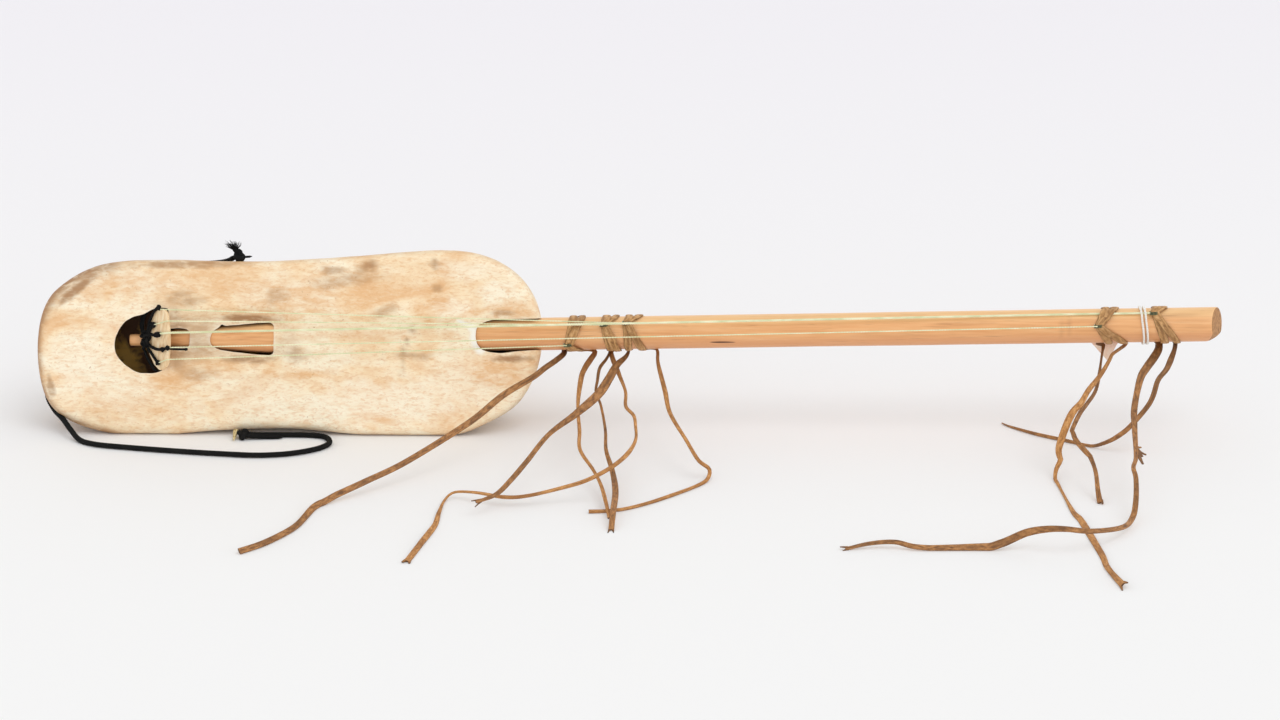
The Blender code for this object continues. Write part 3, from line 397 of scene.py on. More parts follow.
# Of each end: its ring, its letter, its widths at even distances from the ring to its tip, how much it
# twists, and its route in millimetres, along from the ring's place, then backwards and up from the floor
LACE_ENDS = [
    (1, "a", (4.2, 4.6, 5.0, 4.5, 4.5, 5.0, 4.6, 4.6), 0.5,
     [(-0.5, 7, 59.4), (-6.5, -4, 57.8), (-14, -15, 56), (-22.5, -28, 53.4), (-44, -50, 47), (-68, -70, 33),
      (-112, -109, 17), (-141, -132, 10), (-165, -149, 4), (-176, -163, 1.6), (-187, -201, 1.6),
      (-204, -229, 1.6), (-221, -246, 1.6)]),
    (1, "b", (3.4, 4.8, 4.4, 2.4, 2.9, 2.7, 2.4, 3.0, 2.4), 0.9,
     [(23, 12, 58.4), (19.6, 3, 56), (16, -8, 53.4), (13.6, -22, 50.4), (12, -50, 40), (14, -78, 30),
      (15, -99, 23), (25, -115, 13.5), (31, -134, 9.5), (35, -158.5, 6.8), (38, -177, 1.6)]),
    (2, "a", (1.7, 2.6, 2.0, 2.0, 2.5, 4.2, 4.7, 4.7, 4.2), 0.6,
     [(7.8, 11, 59.2), (5.4, 2, 57.2), (0.8, -9, 54), (-0.6, -21, 48.6), (-1.5, -32, 43), (2.5, -46, 38),
      (6.5, -74, 29), (7.5, -94, 21), (12.5, -115, 13), (15.5, -149, 10.5), (14.5, -183, 8), (13.5, -199, 1.6)]),
    (2, "b", (3.4, 4.2, 2.4, 2.7, 2.2, 3.4, 3.2, 3.0, 2.7, 3.0, 2.0, 1.7, 3.7, 4.5, 4.4, 4.8), 1.1,
     [(8.9, 12, 59), (10.6, 3, 56.6), (13, -8, 55), (16, -21, 52.6), (20.8, -38, 46), (21.3, -52, 39.6),
      (27.3, -60.5, 35.6), (28.9, -72, 31.6), (29.2, -90, 27.5), (23.5, -112, 25), (11.5, -135, 23), (-5.5, -147, 18), (-23.5, -147, 12),
      (-48.5, -153, 8), (-65.5, -153, 7), (-85.5, -146, 7.5), (-101.5, -139, 5), (-108.5, -144, 2),
      (-111.5, -169, 1.6), (-113.5, -196, 1.6), (-121.5, -231, 1.6), (-128.5, -259, 1.6)]),
    (3, "a", (1.6, 4.0, 6.2, 7.0, 6.4, 5.0, 3.7, 3.7, 4.0, 3.7, 2.2), 0.7,
     [(4.6, 11, 59.6), (2.2, 1, 59), (-4, -16, 58.6), (-9, -34, 55), (-17, -54, 49.4), (-33, -78, 43),
      (-52, -102, 36), (-67, -131, 26), (-78, -148, 18), (-88, -163, 13), (-102, -173, 11)]),
    (3, "b", (2.4, 2.6, 3.4, 4.0, 3.2, 2.7, 3.0, 3.0, 2.4, 2.7, 2.5, 2.5, 3.0), 0.9,
     [(26.9, 12, 59), (26.9, 3, 57), (27.8, -8, 55.4), (29.6, -20, 52.6), (33, -38, 46), (37, -60, 37),
      (49, -86, 26), (58, -98, 15), (66.5, -94.5, 5.5), (60, -111, 1.6), (32, -140, 1.6), (9, -158, 1.6),
      (-6, -164, 1.6), (-21, -166, 1.6)]),
    (4, "a", (4.5, 1.8, 1.8, 2.8, 2.8, 3.4, 4.0, 3.4, 3.8, 4.0, 3.0, 3.4, 4.4), 1.2,
     [(7.6, 9, 67.4), (5.4, -3, 64), (0.7, -30, 55), (-3.3, -45, 50), (-10.3, -57, 45), (-16.3, -67, 41),
      (-22.7, -82.5, 34.6), (-22.4, -86, 33.4), (-20.3, -96, 30.4),
      (-12.9, -110.5, 25.8), (-11.4, -113, 24.2), (-8.6, -124, 17.5), (-7.3, -134, 6),
      (-6.3, -143, 1.6)]),
    (4, "b", (3.0, 2.5, 3.0, 3.8, 4.4, 5.6, 5.3, 3.0, 2.0, 2.2, 3.8, 5.0, 5.3, 5.0, 4.4, 4.0, 5.0), 0.8,
     [(24.4, 12, 67.4), (18.4, 2, 67), (12.6, -10, 67.6), (9.6, -20, 67), (4.7, -32, 64), (-1.3, -43, 60),
      (-9.3, -57, 56), (-15.3, -69, 51), (-22.3, -77, 46), (-27.3, -82, 37), (-32.3, -86, 22),
      (-31.9, -87.5, 15.5), (-31.1, -88.5, 12.8), (-34.2, -91.5, 6.8), (-35.3, -98, 2), (-33.3, -112, 1.6), (-27.3, -161, 1.6), (-22.3, -183, 1.6),
      (-14.3, -239, 1.6), (-12.3, -267, 1.6), (-5.3, -297, 1.6)]),
    (5, "a", (5.5, 6.5, 6.0, 4.7, 5.0, 4.2, 3.4, 3.8, 4.4, 3.8, 3.6, 4.0, 5.5, 6.0, 4.7, 4.0, 3.4, 2.4), 0.7,
     [(6, 11, 67.8), (4.6, 3, 66.4), (-0.4, -10, 64.4), (-6.6, -24, 62.4), (-13, -40, 59), (-20, -71, 48),
      (-22, -94, 41), (-23.5, -124, 30), (-26.4, -136, 26), (-25.6, -148, 22), (-27.5, -170, 14),
      (-31, -184, 6.5), (-41, -208, 8.5), (-65, -231, 15),
      (-84, -237, 19), (-97, -235, 18), (-111, -230, 13), (-129, -231, 5), (-147, -231, 1.8), (-186, -232, 3),
      (-203, -229, 5), (-221, -229, 4), (-238, -232, 1.6)]),
    (5, "b", (3.6, 3.6, 4.7, 3.8, 4.0, 3.8, 4.0, 4.0, 2.8, 2.2, 2.8, 2.8, 2.5, 1.9, 0.8), 1.1,
     [(18.4, 12, 68.4), (17, 4, 67), (14, -7, 65), (9, -18, 59), (2, -26, 53), (-2, -33, 43), (-7, -37, 35),
      (-19, -40, 21), (-26, -39, 14), (-34, -37, 8), (-43, -32, 3), (-53, -26, 1.6), (-69, -16, 1.6),
      (-79, -10, 1.6), (-90, -2, 1.6), (-104, 11, 1.6), (-110, 19, 1.6)]),
]
LACE_THICK = 1.2
# Torn slivers of the laces, for each end: the share of its length where one starts, how far it reaches along
# the lace and across it, and its width
FRAYS = {
    (2, "a"): [(1, 4.4, 1.0, 1.8), (1, 4.8, -1.2, 1.8)],
    (2, "b"): [(1, 2.6, 1.4, 3.0), (1, 2.2, -1.4, 3.0)],
    (3, "a"): [(0.99, 4.6, 2.6, 1.7), (0.99, 5.4, -1.2, 1.6)],
    (4, "a"): [(1, 2.0, 0.4, 3.0)],
    (4, "b"): [(1, 3.0, -2.4, 2.8), (1, 4.6, 1.4, 2.4)],
    (5, "a"): [(0.318, 0.5, 7.5, 3.0), (0.325, 9.5, 4.6, 5.0), (0.322, 4.0, 4.5, 4.4), (0.316, -3.2, 3.6, 2.2),
               (1, 2.6, 1.2, 2.0), (1, 3.4, -0.8, 1.8)],
}


def carried(line, first=None):
    """A side direction for each point of a line, carried along it without a twist."""
    ways = headings(line)
    side = first or ways[0].orthogonal()
    out = []
    for way in ways:
        side = (side - way * side.dot(way)).normalized()
        out.append(side)
    return out


FRONT = Vector((0, -0.94, 0.34))
FLOOR_TILT = 0.77
for k, end, widths, twist, route in LACE_ENDS:
    place = RINGS[k - 1][0]
    along, angle, radius = winding(k)[0 if end == "a" else -1]
    on_ring = radius + (RING_THICK + LACE_THICK) / 2
    held = []
    for shift, turned in zip((0.1, 0.5, 0.9), (-10, 0, 7) if end == "a" else (-6, -10, -4)):
        held.append(round_neck(place + along + (route[0][0] - along) * shift, angle + turned, on_ring))
    line, length = smooth_line(held + [by_tail_end(place + x, y, z) for x, y, z in route], 2.5 * MM)
    luck = random.Random(100 * k + ord(end))
    waves = [luck.uniform(0, 6.28) for _ in range(2)]
    last, sides, wide, facing = len(line) - 1, [], [], Vector((1, 0, 0))
    # its flat side looks to the front; on the floor it leans back
    for i, way in enumerate(headings(line)):
        flat = way.cross(FRONT)
        if flat.length > 0.2:
            facing = flat.normalized() if flat.dot(facing) > 0 else -flat.normalized()
        spot = i / last * (len(widths) - 1)
        n = min(int(spot), len(widths) - 2)
        wide.append(widths[n] + (widths[n + 1] - widths[n]) * (spot - n))
        far = i / last * length
        roll = twist * (0.35 * math.sin(far / 0.032 + waves[0]) + 0.2 * math.sin(far / 0.015 + waves[1]))
        side = Matrix.Rotation(roll, 3, way) @ facing
        tilt = FLOOR_TILT + (1 - FLOOR_TILT) * ease((line[i].z - 8 * MM) / (15 * MM))
        if abs(side.z) > tilt:
            level = Vector((facing.x, facing.y, 0)).normalized() * math.sqrt(1 - tilt * tilt)
            side = level + Vector((0, 0, math.copysign(tilt, side.z)))
        sides.append(side)
        low = 0.8 * MM * min(1, max(0, (5 * MM - line[i].z) / (3 * MM)))
        line[i].z = max(line[i].z - low, (0.5 * wide[i] * abs(side.z) + 0.35) * MM)

    def lace_section(i):
        return thong_section(wide[i] * MM, LACE_THICK * MM, 0.3 * MM)

    bm = bmesh.new()
    lay_strand(bm, line, sides, lace_section, outer_first)
    press_on_floor(bm)
    lace = as_piece("lace_end_%d_%s" % (k, end), bm, [GRAIN_SIDE, FLESH_SIDE], "lace_%d_%s" % (k, end),
                    "ring_%d" % k)
    bm = bmesh.new()
    for share, reach, aside, broad in FRAYS.get((k, end), ()):
        at = round(share * last)
        along_lace, across_lace = headings(line)[at], sides[at]
        start = line[at] + across_lace * (0.25 * math.copysign(wide[at], aside) * MM) - along_lace * (2 * MM)
        goal = start + across_lace * (aside * MM) + along_lace * ((reach + 2) * MM)
        bend = start.lerp(goal, 0.5) + along_lace * (0.12 * aside * MM)
        sliver, _ = smooth_line([start, bend, goal], 0.8 * MM)
        thinner = len(sliver)

        def sliver_section(i):
            return thong_section(broad * (1 - 0.7 * i / thinner) * MM, 0.9 * MM)

        lay_strand(bm, sliver, carried(sliver, across_lace), sliver_section, outer_first)
    if FRAYS.get((k, end)):
        press_on_floor(bm)
        as_piece("torn_slivers_%d_%s" % (k, end), bm, [GRAIN_SIDE, FLESH_SIDE], None,
                             "ring_%d" % k)


# Carrying cord. A soft braided black cord is tied through a hole in the body's lower side; it loops over
# the floor and goes round the tail end and along the side wall to a knot on top, where its end is frayed.
OUTLINE = [
    (0, -0.035), (0.013, 0.19), (0.052, 0.328), (0.124, 0.428), (0.238, 0.456), (0.437, 0.449),
    (0.627, 0.479), (0.802, 0.515), (0.892, 0.484), (0.95, 0.394), (0.987, 0.248), (1, 0.057),
    (0.987, -0.142), (0.95, -0.319), (0.892, -0.422), (0.825, -0.484), (0.714, -0.493), (0.627, -0.479),
    (0.503, -0.452), (0.37, -0.46), (0.225, -0.4915), (0.124, -0.472), (0.052, -0.4), (0.013, -0.27),
]
BODY_LENGTH, BODY_WIDTH, BODY_DEPTH = 378, 141, 60
REST_DISTANCE = 68
RIM_RADIUS, BACK_RADIUS = 7, 12


def body_edge(steps):
    """Points of the body's outline in millimetres, and the way inwards at each."""
    corners = [Vector((x * BODY_LENGTH, z * BODY_WIDTH)) for x, z in OUTLINE]
    count, edge = len(corners), []
    for i in range(count):
        a, b, c, d = (corners[(i + k) % count] for k in (-1, 0, 1, 2))
        for step in range(steps):
            t = step / steps
            edge.append(0.5 * (2 * b + (c - a) * t + (2 * a - 5 * b + 4 * c - d) * t ** 2
                               + (3 * b - a - 3 * c + d) * t ** 3))
    ways = [(edge[(i + 1) % len(edge)] - edge[i - 1]).normalized() for i in range(len(edge))]
    return edge, [Vector((way.y, -way.x)) for way in ways]


def edge_at(edge, inward, i, inset, depth):
    """A point inside the body's outline at a depth, where the body is cut straight to rest on the floor."""
    q = edge[i] + inward[i] * inset
    return Vector((q.x, depth, max(q.y, inset - REST_DISTANCE)))


def hide_reach(x):
    """How far the dry hide stands beyond the hull at the body's two ends, along the body."""
    return -2.4 * ease((40 - x) / 40) + 2.8 * ease((x - 338) / 40)


def lay_braid(bm, line, radius, pitch, around=12, rib=0.1, ends=1.0):
    """Adds a braided cord whose ribs cross both ways."""
    step = (line[1] - line[0]).length / MM
    last = len(line) - 1

    def section(i):
        out = []
        near_end = min(i, last - i)
        narrow = ends + (1 - ends) * min(1, near_end / 4)
        for j in range(around):
            share = j / around
            phase = i * step / pitch
            wave = math.sin(6.2832 * (phase + 2 * share)) * math.sin(6.2832 * (phase - 2 * share))
            r = radius * MM * narrow * (1 + rib * wave)
            out.append((r * math.cos(6.2832 * share), r * math.sin(6.2832 * share)))
        return out

    lay_strand(bm, line, carried(line), section)


def lay_knot(bm, centre, size, radius, pitch, turn=None, flat=1.5):
    """Adds a tight overhand knot of a cord."""
    line = []
    for i in range(73):
        t = 2 * math.pi * i / 72
        p = Vector((math.sin(t) + 2 * math.sin(2 * t), math.cos(t) - 2 * math.cos(2 * t), -flat * math.sin(3 * t)))
        line.append(centre + (turn or Matrix.Identity(3)) @ p * (size / 3 * MM))
    lay_braid(bm, line, radius, pitch)


def black_braid(name, scale):
    """Black cord: fine fibres over its ribs, dull, a little browner where it is rubbed."""
    made = new_finish(name, 0.85)
    made.node_tree.nodes["Principled BSDF"].inputs["Specular IOR Level"].default_value = 0.2
    place = place_of(made)
    fibres = clouds(made, place, scale, 3)
    rubbed = clouds(made, place, 60, 4)
    colour = shades(made, fibres, (0.35, (0.002, 0.002, 0.002)), (0.65, (0.009, 0.009, 0.009)))
    colour = over(made, sharper(made, rubbed, 2.5, -1.4), colour, (0.018, 0.016, 0.014))
    return dress(made, colour, raised(made, fibres, 0.0004))


CORD_LOOK = black_braid("black braided cord", 1600)
CORD_RADIUS, CORD_PITCH = 2.0, 3.6
LOWER_KNOT, LOWER_KNOT_SIZE = Vector((154.5, -21.5, 3.9)), 4.2
UPPER_KNOT, UPPER_KNOT_SIZE = Vector((150.5, 29, 128.7)), 5.2
CORD_FLOOR = [
    (172, -17.6, 2.2), (190, -17.4, 2.2), (206, -18, 2.2), (217, -22, 2.2), (221, -34, 2.2),
    (213, -46, 2.2), (194, -56, 2.2), (171, -60, 2.2), (146, -58, 2.2), (105, -52, 2.2), (63, -44, 2.2),
    (44, -39, 2.2), (32, -31, 2.4), (24, -21, 6.6), (17, -12, 11.8), (8, 0, 16.5), (2.5, 10, 25),
]
CORD_WALL_DEPTH, CORD_WALL_GAP = 38, 0.8
CORD_TOP = Vector((130, 38, 120.4))
edge, inward = body_edge(2)
wall_inset = (CORD_WALL_DEPTH - RIM_RADIUS) * math.tan(LEAN) - (CORD_RADIUS + CORD_WALL_GAP) / math.cos(LEAN)
wall = []
for i in (47, 48, 49, 51, 53, 55):
    at_wall = edge_at(edge, inward, i % len(edge), wall_inset, CORD_WALL_DEPTH)
    at_wall.x += hide_reach(at_wall.x)
    wall.append(BODY @ (at_wall * MM))
from_knot = LOWER_KNOT + (Vector(CORD_FLOOR[0]) - LOWER_KNOT).normalized() * (LOWER_KNOT_SIZE + 0.3)
to_knot = UPPER_KNOT + (CORD_TOP - UPPER_KNOT).normalized() * (UPPER_KNOT_SIZE + 0.3)
route = [by_tail_end(*from_knot)] + [by_tail_end(*p) for p in CORD_FLOOR] + wall
route += [by_tail_end(*CORD_TOP), by_tail_end(*to_knot)]
line, length = smooth_line(route, 0.7 * MM)
bm = bmesh.new()
lay_braid(bm, line, CORD_RADIUS, CORD_PITCH)
press_on_floor(bm)
cord = as_piece("carrying_cord_braid", bm, [CORD_LOOK], "carrying_cord")

# the lower knot, with the short end that lies back along the cord
bm = bmesh.new()
lay_knot(bm, by_tail_end(*LOWER_KNOT), 3.3, 1.75, CORD_PITCH, Matrix.Rotation(0.5, 3, "X"))
back, _ = smooth_line([by_tail_end(*p) for p in (
    (154, -22, 3), (160, -22.6, 3), (168, -21.8, 2.2), (177, -21.2, 1.9), (184, -20.6, 1.8))], 0.7 * MM)
lay_braid(bm, back, 1.75, CORD_PITCH, ends=0.6)
press_on_floor(bm)
lower_knot = as_piece("lower_knot_and_its_end", bm, [CORD_LOOK], "lower_cord_knot")

# the upper knot, its stub and its frayed tuft
bm = bmesh.new()
knot_at = by_tail_end(*UPPER_KNOT)
lay_knot(bm, knot_at, 3.9, 2.0, CORD_PITCH, Matrix.Rotation(1.2, 3, "Y"))
stem, _ = smooth_line([knot_at, knot_at + Vector((-1.5, 0, 3.4)) * MM, knot_at + Vector((-3.5, 0, 6.4)) * MM], 0.5 * MM)
lay_braid(bm, stem, 2.0, CORD_PITCH)
stub, _ = smooth_line([knot_at, knot_at + Vector((5, -1.2, 0.2)) * MM, knot_at + Vector((9.8, -1, 0.5)) * MM], 0.5 * MM)
lay_braid(bm, stub, 0.9, CORD_PITCH, ends=0.4)
luck = random.Random(4)
for i in range(110):
    start = stem[-3] + Vector((luck.uniform(-1.4, 1.4), luck.uniform(-1.4, 1.4), luck.uniform(-0.8, 0.4))) * MM
    goal = start + Vector((luck.uniform(-7.5, 4.0), luck.uniform(-3.5, 3.5), luck.uniform(2.6, 6.4))) * MM
    bend = start.lerp(goal, 0.5) + Vector((luck.uniform(-0.6, 0.6), luck.uniform(-0.8, 0.8), luck.uniform(-0.4, 0.9))) * MM
    fibre, _ = smooth_line([start, bend, goal], 0.7 * MM)
    size = luck.uniform(0.2, 0.36) * MM
    last = len(fibre) - 1

    def fibre_section(i):
        r = size * (1 - 0.7 * i / last)
        return [(r * math.cos(2.094 * j), r * math.sin(2.094 * j)) for j in range(3)]

    lay_strand(bm, fibre, carried(fibre), fibre_section)
upper_knot = as_piece("upper_knot_and_its_tuft", bm, [CORD_LOOK], "upper_cord_knot")

# Peg beside the lower knot. A small split of yellowish wood, whittled to a point, is stuck in the cord's hole.
PEG_WOOD = new_finish("yellowish split wood", 0.7)
fibres = clouds(PEG_WOOD, place_of(PEG_WOOD, (1, 0.25, 1)), 900, 4)
stains_and_shade = clouds(PEG_WOOD, place_of(PEG_WOOD), 150, 3)
colour = shades(PEG_WOOD, fibres, (0.35, (0.42, 0.29, 0.10)), (0.6, (0.78, 0.64, 0.34)))
colour = over(PEG_WOOD, sharper(PEG_WOOD, stains_and_shade, 3, -1.7), colour, (0.20, 0.12, 0.05))
dress(PEG_WOOD, colour, raised(PEG_WOOD, fibres, 0.0003))
bm = bmesh.new()
PEG_FROM, PEG_TO = Vector((148.6, -15.5, 4.2)), Vector((148.1, -27, 1.5))
line = [by_tail_end(*PEG_FROM.lerp(PEG_TO, i / 6)) for i in range(7)]


def peg_section(i):
    wide = (2.2 - 1.5 * i / 6) * MM
    corners = [(1, 0.25), (0.55, 0.85), (-0.35, 0.9), (-1, 0.3), (-0.85, -0.6), (-0.1, -0.85), (0.8, -0.5)]
    return [(wide * a * (1 + 0.06 * math.sin(3 * i + j)), wide * b * 0.9) for j, (a, b) in enumerate(corners)]


lay_strand(bm, line, carried(line, Vector((1, 0, 0))), peg_section)
as_piece("whittled_cord_peg", bm, [PEG_WOOD], "cord_peg", sharp=25)

# Resonator. The trough is carved from one block of dark brown wood, rounded at both ends; the adze has left
# shallow facets outside, and its hollow shows through the openings.
HULL_WOOD = new_finish("carved trough wood", 0.65)
grain = clouds(HULL_WOOD, place_of(HULL_WOOD, (0.12, 1, 1)), 160, 8, 0.4)
broad = clouds(HULL_WOOD, place_of(HULL_WOOD, (0.5, 1, 1)), 16, 4)
facets = put(HULL_WOOD, "TexVoronoi", {"feature": "SMOOTH_F1"}, Vector=place_of(HULL_WOOD, (0.6, 1, 1)), Scale=95.0,
             Smoothness=0.35).outputs["Distance"]
colour = shades(HULL_WOOD, grain, (0.3, (0.15, 0.062, 0.018)), (0.5, (0.36, 0.17, 0.05)), (0.7, (0.55, 0.30, 0.10)))
colour = over(HULL_WOOD, sharper(HULL_WOOD, broad, 2.2, -1.0), colour, (0.20, 0.085, 0.026))
# the hollow was never stained: it is lighter than the outside, down to its floor; its clouds of near-black and golden
# patches are painted shade and painted light
in_body = put(HULL_WOOD, "Mapping", {"vector_type": "TEXTURE"}, Vector=put(HULL_WOOD, "TexCoord").outputs["Object"],
              Location=BODY.translation, Rotation=BODY.to_euler()).outputs["Vector"]
inside = sharper(HULL_WOOD, put(HULL_WOOD, "SeparateXYZ", Vector=in_body).outputs["Y"], -200, 10.5)
lit_and_shaded_patches = clouds(HULL_WOOD, place_of(HULL_WOOD), 48, 4, 0.4)
raw_wood_and_painted_light = shades(HULL_WOOD, lit_and_shaded_patches, (0.45, (0.10, 0.036, 0.006)), (0.56, (0.70, 0.42, 0.08)))
raw_wood_and_painted_light = over(HULL_WOOD, times(HULL_WOOD, 0.5, sharper(HULL_WOOD, grain, 3, -1.4)), raw_wood_and_painted_light, (0.16, 0.07, 0.02))
colour = over(HULL_WOOD, inside, colour, raw_wood_and_painted_light)
dress(HULL_WOOD, colour, raised(HULL_WOOD, grain, 0.0004, raised(HULL_WOOD, facets, 0.0012)))
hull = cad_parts["hull"]
hull.data.materials.clear()
hull.data.materials.append(HULL_WOOD)

# Skin head. One raw hide is stretched wet over the face and round the sides; it dried hard over the neck, with creases,
# stain blotches, the scraped-off hair's specks, and openings cut with a knife. Painted shade and a painted highlight
# are laid into its colour too.
EDGE_STEPS = 14
WALL_STEPS = 9
FACE_SHARES = [1 - 0.015 * i for i in range(1, 8)] + [0.88 - 0.86 * (i / 36) for i in range(37)]
HIDE_THICK = 1.5
SOUND_HOLE = [
    (98, -14.5), (96, -17.6), (91.5, -20.1), (84.9, -21.5), (77, -21.5), (71, -19.6), (64.4, -14.9), (59.5, -9.7),
    (57.4, -5.5), (56.8, 0.3), (57.8, 6.2), (60.8, 12.6), (65.1, 17.6), (71.4, 21.6), (79.4, 23.4), (85, 26.8),
    (90, 28.6), (98, 28.2),
]
SMALL_WINDOW = [(92, -2.6), (111, -2.6), (113.3, -0.6), (113.9, 5), (113.5, 10.2), (111.4, 12), (106, 13), (92, 12.2)]
LARGE_WINDOW = [
    (136, -3.6), (145, -5.1), (160, -6.8), (174.6, -7.8), (177.2, -6), (177.8, 5), (177.4, 15.6), (175.2, 17.4),
    (165, 16.8), (150, 15.4), (139.5, 14.6), (138, 16.4), (136, 13.4), (131.6, 10.8), (129.4, 7.6), (128.8, 4.2),
    (129.6, 0.6), (132, -2),
]
# The slot's edge, along the body and across from the neck's middle
SLOT = [
    (392, 12.6), (345, 12.4), (339, 11.2), (333.4, 9), (331, 6), (330.4, -1), (331.6, -6), (334.6, -10.4),
    (340, -12.2), (347, -13.3), (354, -13.1), (361, -12), (372, -11.6), (392, -11.6),
]
SLOT_X = BODY_LENGTH - 47.3


def tent(x, z):
    """How far the neck under the hide lifts it; by the windows and the slot the hide lies close to the stick."""
    radius, aside = neck_radius(x) + 1.8, abs(z - neck_height(x))
    lifted = max(0, radius - neck_depth(x)) * min(1, max(0, 1 - (aside - 9) / 28))
    close = math.sqrt(max(0, radius * radius - aside * aside)) - neck_depth(x)
    sunk = max(close, -4.2) * (1 - ease((aside - 11) / 14))
    lifted += (sunk - lifted) * ease((x - 101) / 9) * ease((190 - x) / 12)
    return lifted + (max(0, close) - lifted) * ease((x - 321) / 10)


def bell(t):
    return math.exp(-t * t)


def relief(x, z):
    """How far the dry hide stands out of its even form."""
    p = Vector((x, z, 0))
    out = 0.5 * noise.noise(p / 40) + 0.22 * noise.noise(p / 14 + Vector((3, 7, 0))) + 0.07 * noise.noise(p / 5)
    out -= 0.9 * ease((x - 6) / 12) * ease((60 - x) / 8) * bell((z - 3.2 - 0.03 * (x - 30)) / 1.5)
    aside = abs(z - neck_height(x))
    along = ease((x - 112) / 16) * ease((194 - x) / 14)
    out += 0.8 * along * bell((aside - 25) / 4)
    out += 1.2 * bell((x - 329) / 4.5) * ease((11 - aside) / 4)
    if 52 < x < 182 and -26 < z < 32:
        beside = min(math.hypot(x - at_x, z - at_z) for at_x, at_z in RIMS)
        out += 0.5 * bell(beside / 2.4)
    out += 1.6 * bell(math.hypot(x - 140, z - 17.2) / 1.8)
    over_neck = ease((14 - aside) / 6) if x > 185 else 0
    return out * (1 - over_neck) + max(out, -0.05) * over_neck


def by_hand(outline, sway=0.3, spacing=1.3):
    """An outline as a knife follows it: read closely, with its corners a little round and its line unsteady."""
    close = []
    for i in range(len(outline)):
        a, b = Vector(outline[i - 1]), Vector(outline[i])
        steps = max(1, round((b - a).length / spacing))
        close += [a.lerp(b, s / steps) for s in range(steps)]
    for _ in range(2):
        close = [(close[i - 1] + 2 * close[i] + close[(i + 1) % len(close)]) / 4 for i in range(len(close))]
    out = []
    for p in close:
        at = Vector((p.x, p.y, 0)) / 7
        out.append((p.x + sway * noise.noise(at), p.y + sway * noise.noise(at + Vector((9, 4, 2)))))
    return out


HOLES = [by_hand(outline) for outline in (SOUND_HOLE, SMALL_WINDOW, LARGE_WINDOW)]
RIMS = [p for outline in HOLES for p in outline]
edge, inward = body_edge(EDGE_STEPS)
steep = math.tan(LEAN)
corner = BODY_DEPTH - BACK_RADIUS
reach = (corner - RIM_RADIUS) * steep
wall_rows = [(reach + BACK_RADIUS + fold, BODY_DEPTH) for fold in (14, 9, 4)]
for step in range(7):
    t = math.radians(90 - 15 * step)
    wall_rows.append((reach + BACK_RADIUS * (1 - math.cos(t)), corner + BACK_RADIUS * math.sin(t)))
for step in range(1, WALL_STEPS):
    share = step / WALL_STEPS
    wall_rows.append((reach * (1 - share), corner + (RIM_RADIUS - corner) * share))
for step in range(7):
    t = math.radians(90 - 15 * step)
    wall_rows.append((RIM_RADIUS * (1 - math.sin(t)), RIM_RADIUS * (1 - math.cos(t))))
bm = bmesh.new()
rows = []
for inset, depth in wall_rows:
    row = []
    for i in range(len(edge)):
        q = edge_at(edge, inward, i, inset, depth)
        crumple = 0.35 * noise.noise(q / 16) + 0.12 * noise.noise(q / 5)
        crumple *= ease((depth - 2) / 8) * ease((BODY_DEPTH + 4 - depth) / 8)
        q -= Vector((inward[i].x, 0, inward[i].y)) * crumple
        row.append(q)
    rows.append(row)
rim = rows[-1]
for share in FACE_SHARES:
    row = []
    for p in rim:
        x = min(max(p.x, 60), BODY_LENGTH - 60)
        q = Vector((x, 0, neck_height(x))).lerp(p, share)
        q.y = -tent(q.x, q.z) * ease((1 - share) / 0.2) - relief(q.x, q.z) * ease((1 - share) / 0.12)
        row.append(q)
    rows.append(row)
points = []
for row in rows:
    made_row = []
    for q in row:
        q.x += hide_reach(q.x)
        p = BODY @ (q * MM)
        p.z = max(p.z, 0.02 * MM)
        made_row.append(bm.verts.new(p))
    points.append(made_row)
for a, b in zip(points, points[1:]):
    for i in range(len(a)):
        j = (i + 1) % len(a)
        bm.faces.new((a[i], a[j], b[j], b[i]))
last_row = points[-1]
bmesh.ops.triangle_fill(bm, edges=[bm.edges.get((last_row[i - 1], last_row[i])) for i in range(len(last_row))],
                        use_beauty=True)
bmesh.ops.recalc_face_normals(bm, faces=bm.faces)
out_of_face = BODY.to_3x3() @ Vector((0, -1, 0))
if sum(f.normal.dot(out_of_face) * f.calc_area() for f in bm.faces if f.verts[0] in last_row) < 0:
    bmesh.ops.reverse_faces(bm, faces=bm.faces)
hide_mesh = bpy.data.meshes.new("hide")
bm.to_mesh(hide_mesh)
bm.free()
uncut = bpy.data.objects.new("uncut hide", hide_mesh)
bpy.context.scene.collection.objects.link(uncut)
thick = uncut.modifiers.new("thickness", "SOLIDIFY")
thick.thickness = HIDE_THICK * MM
thick.offset = -1


def knife(name, outline, front=-12, back=6):
    """A prism that cuts the hide's face along an outline, as a knife does."""
    bm = bmesh.new()
    ends = [[bm.verts.new(BODY @ (Vector((x, y, z)) * MM)) for x, z in outline] for y in (front, back)]
    count = len(outline)
    for i in range(count):
        j = (i + 1) % count
        bm.faces.new((ends[0][i], ends[0][j], ends[1][j], ends[1][i]))
    for row in ends:
        bmesh.ops.triangle_fill(bm, edges=[bm.edges.get((row[i - 1], row[i])) for i in range(count)], use_beauty=True)
    bmesh.ops.recalc_face_normals(bm, faces=bm.faces)
    mesh = bpy.data.meshes.new(name)
    bm.to_mesh(mesh)
    bm.free()
    made = bpy.data.objects.new(name, mesh)
    bpy.context.scene.collection.objects.link(made)
    change = uncut.modifiers.new(name, "BOOLEAN")
    change.operation = "DIFFERENCE"
    change.solver = "EXACT"
    change.object = made
    return made


knives = [knife("opening %d" % n, outline) for n, outline in enumerate(HOLES, 1)]
knives.append(knife("neck slot", by_hand([(x, neck_height(x) + z) for x, z in SLOT], 0.15)))
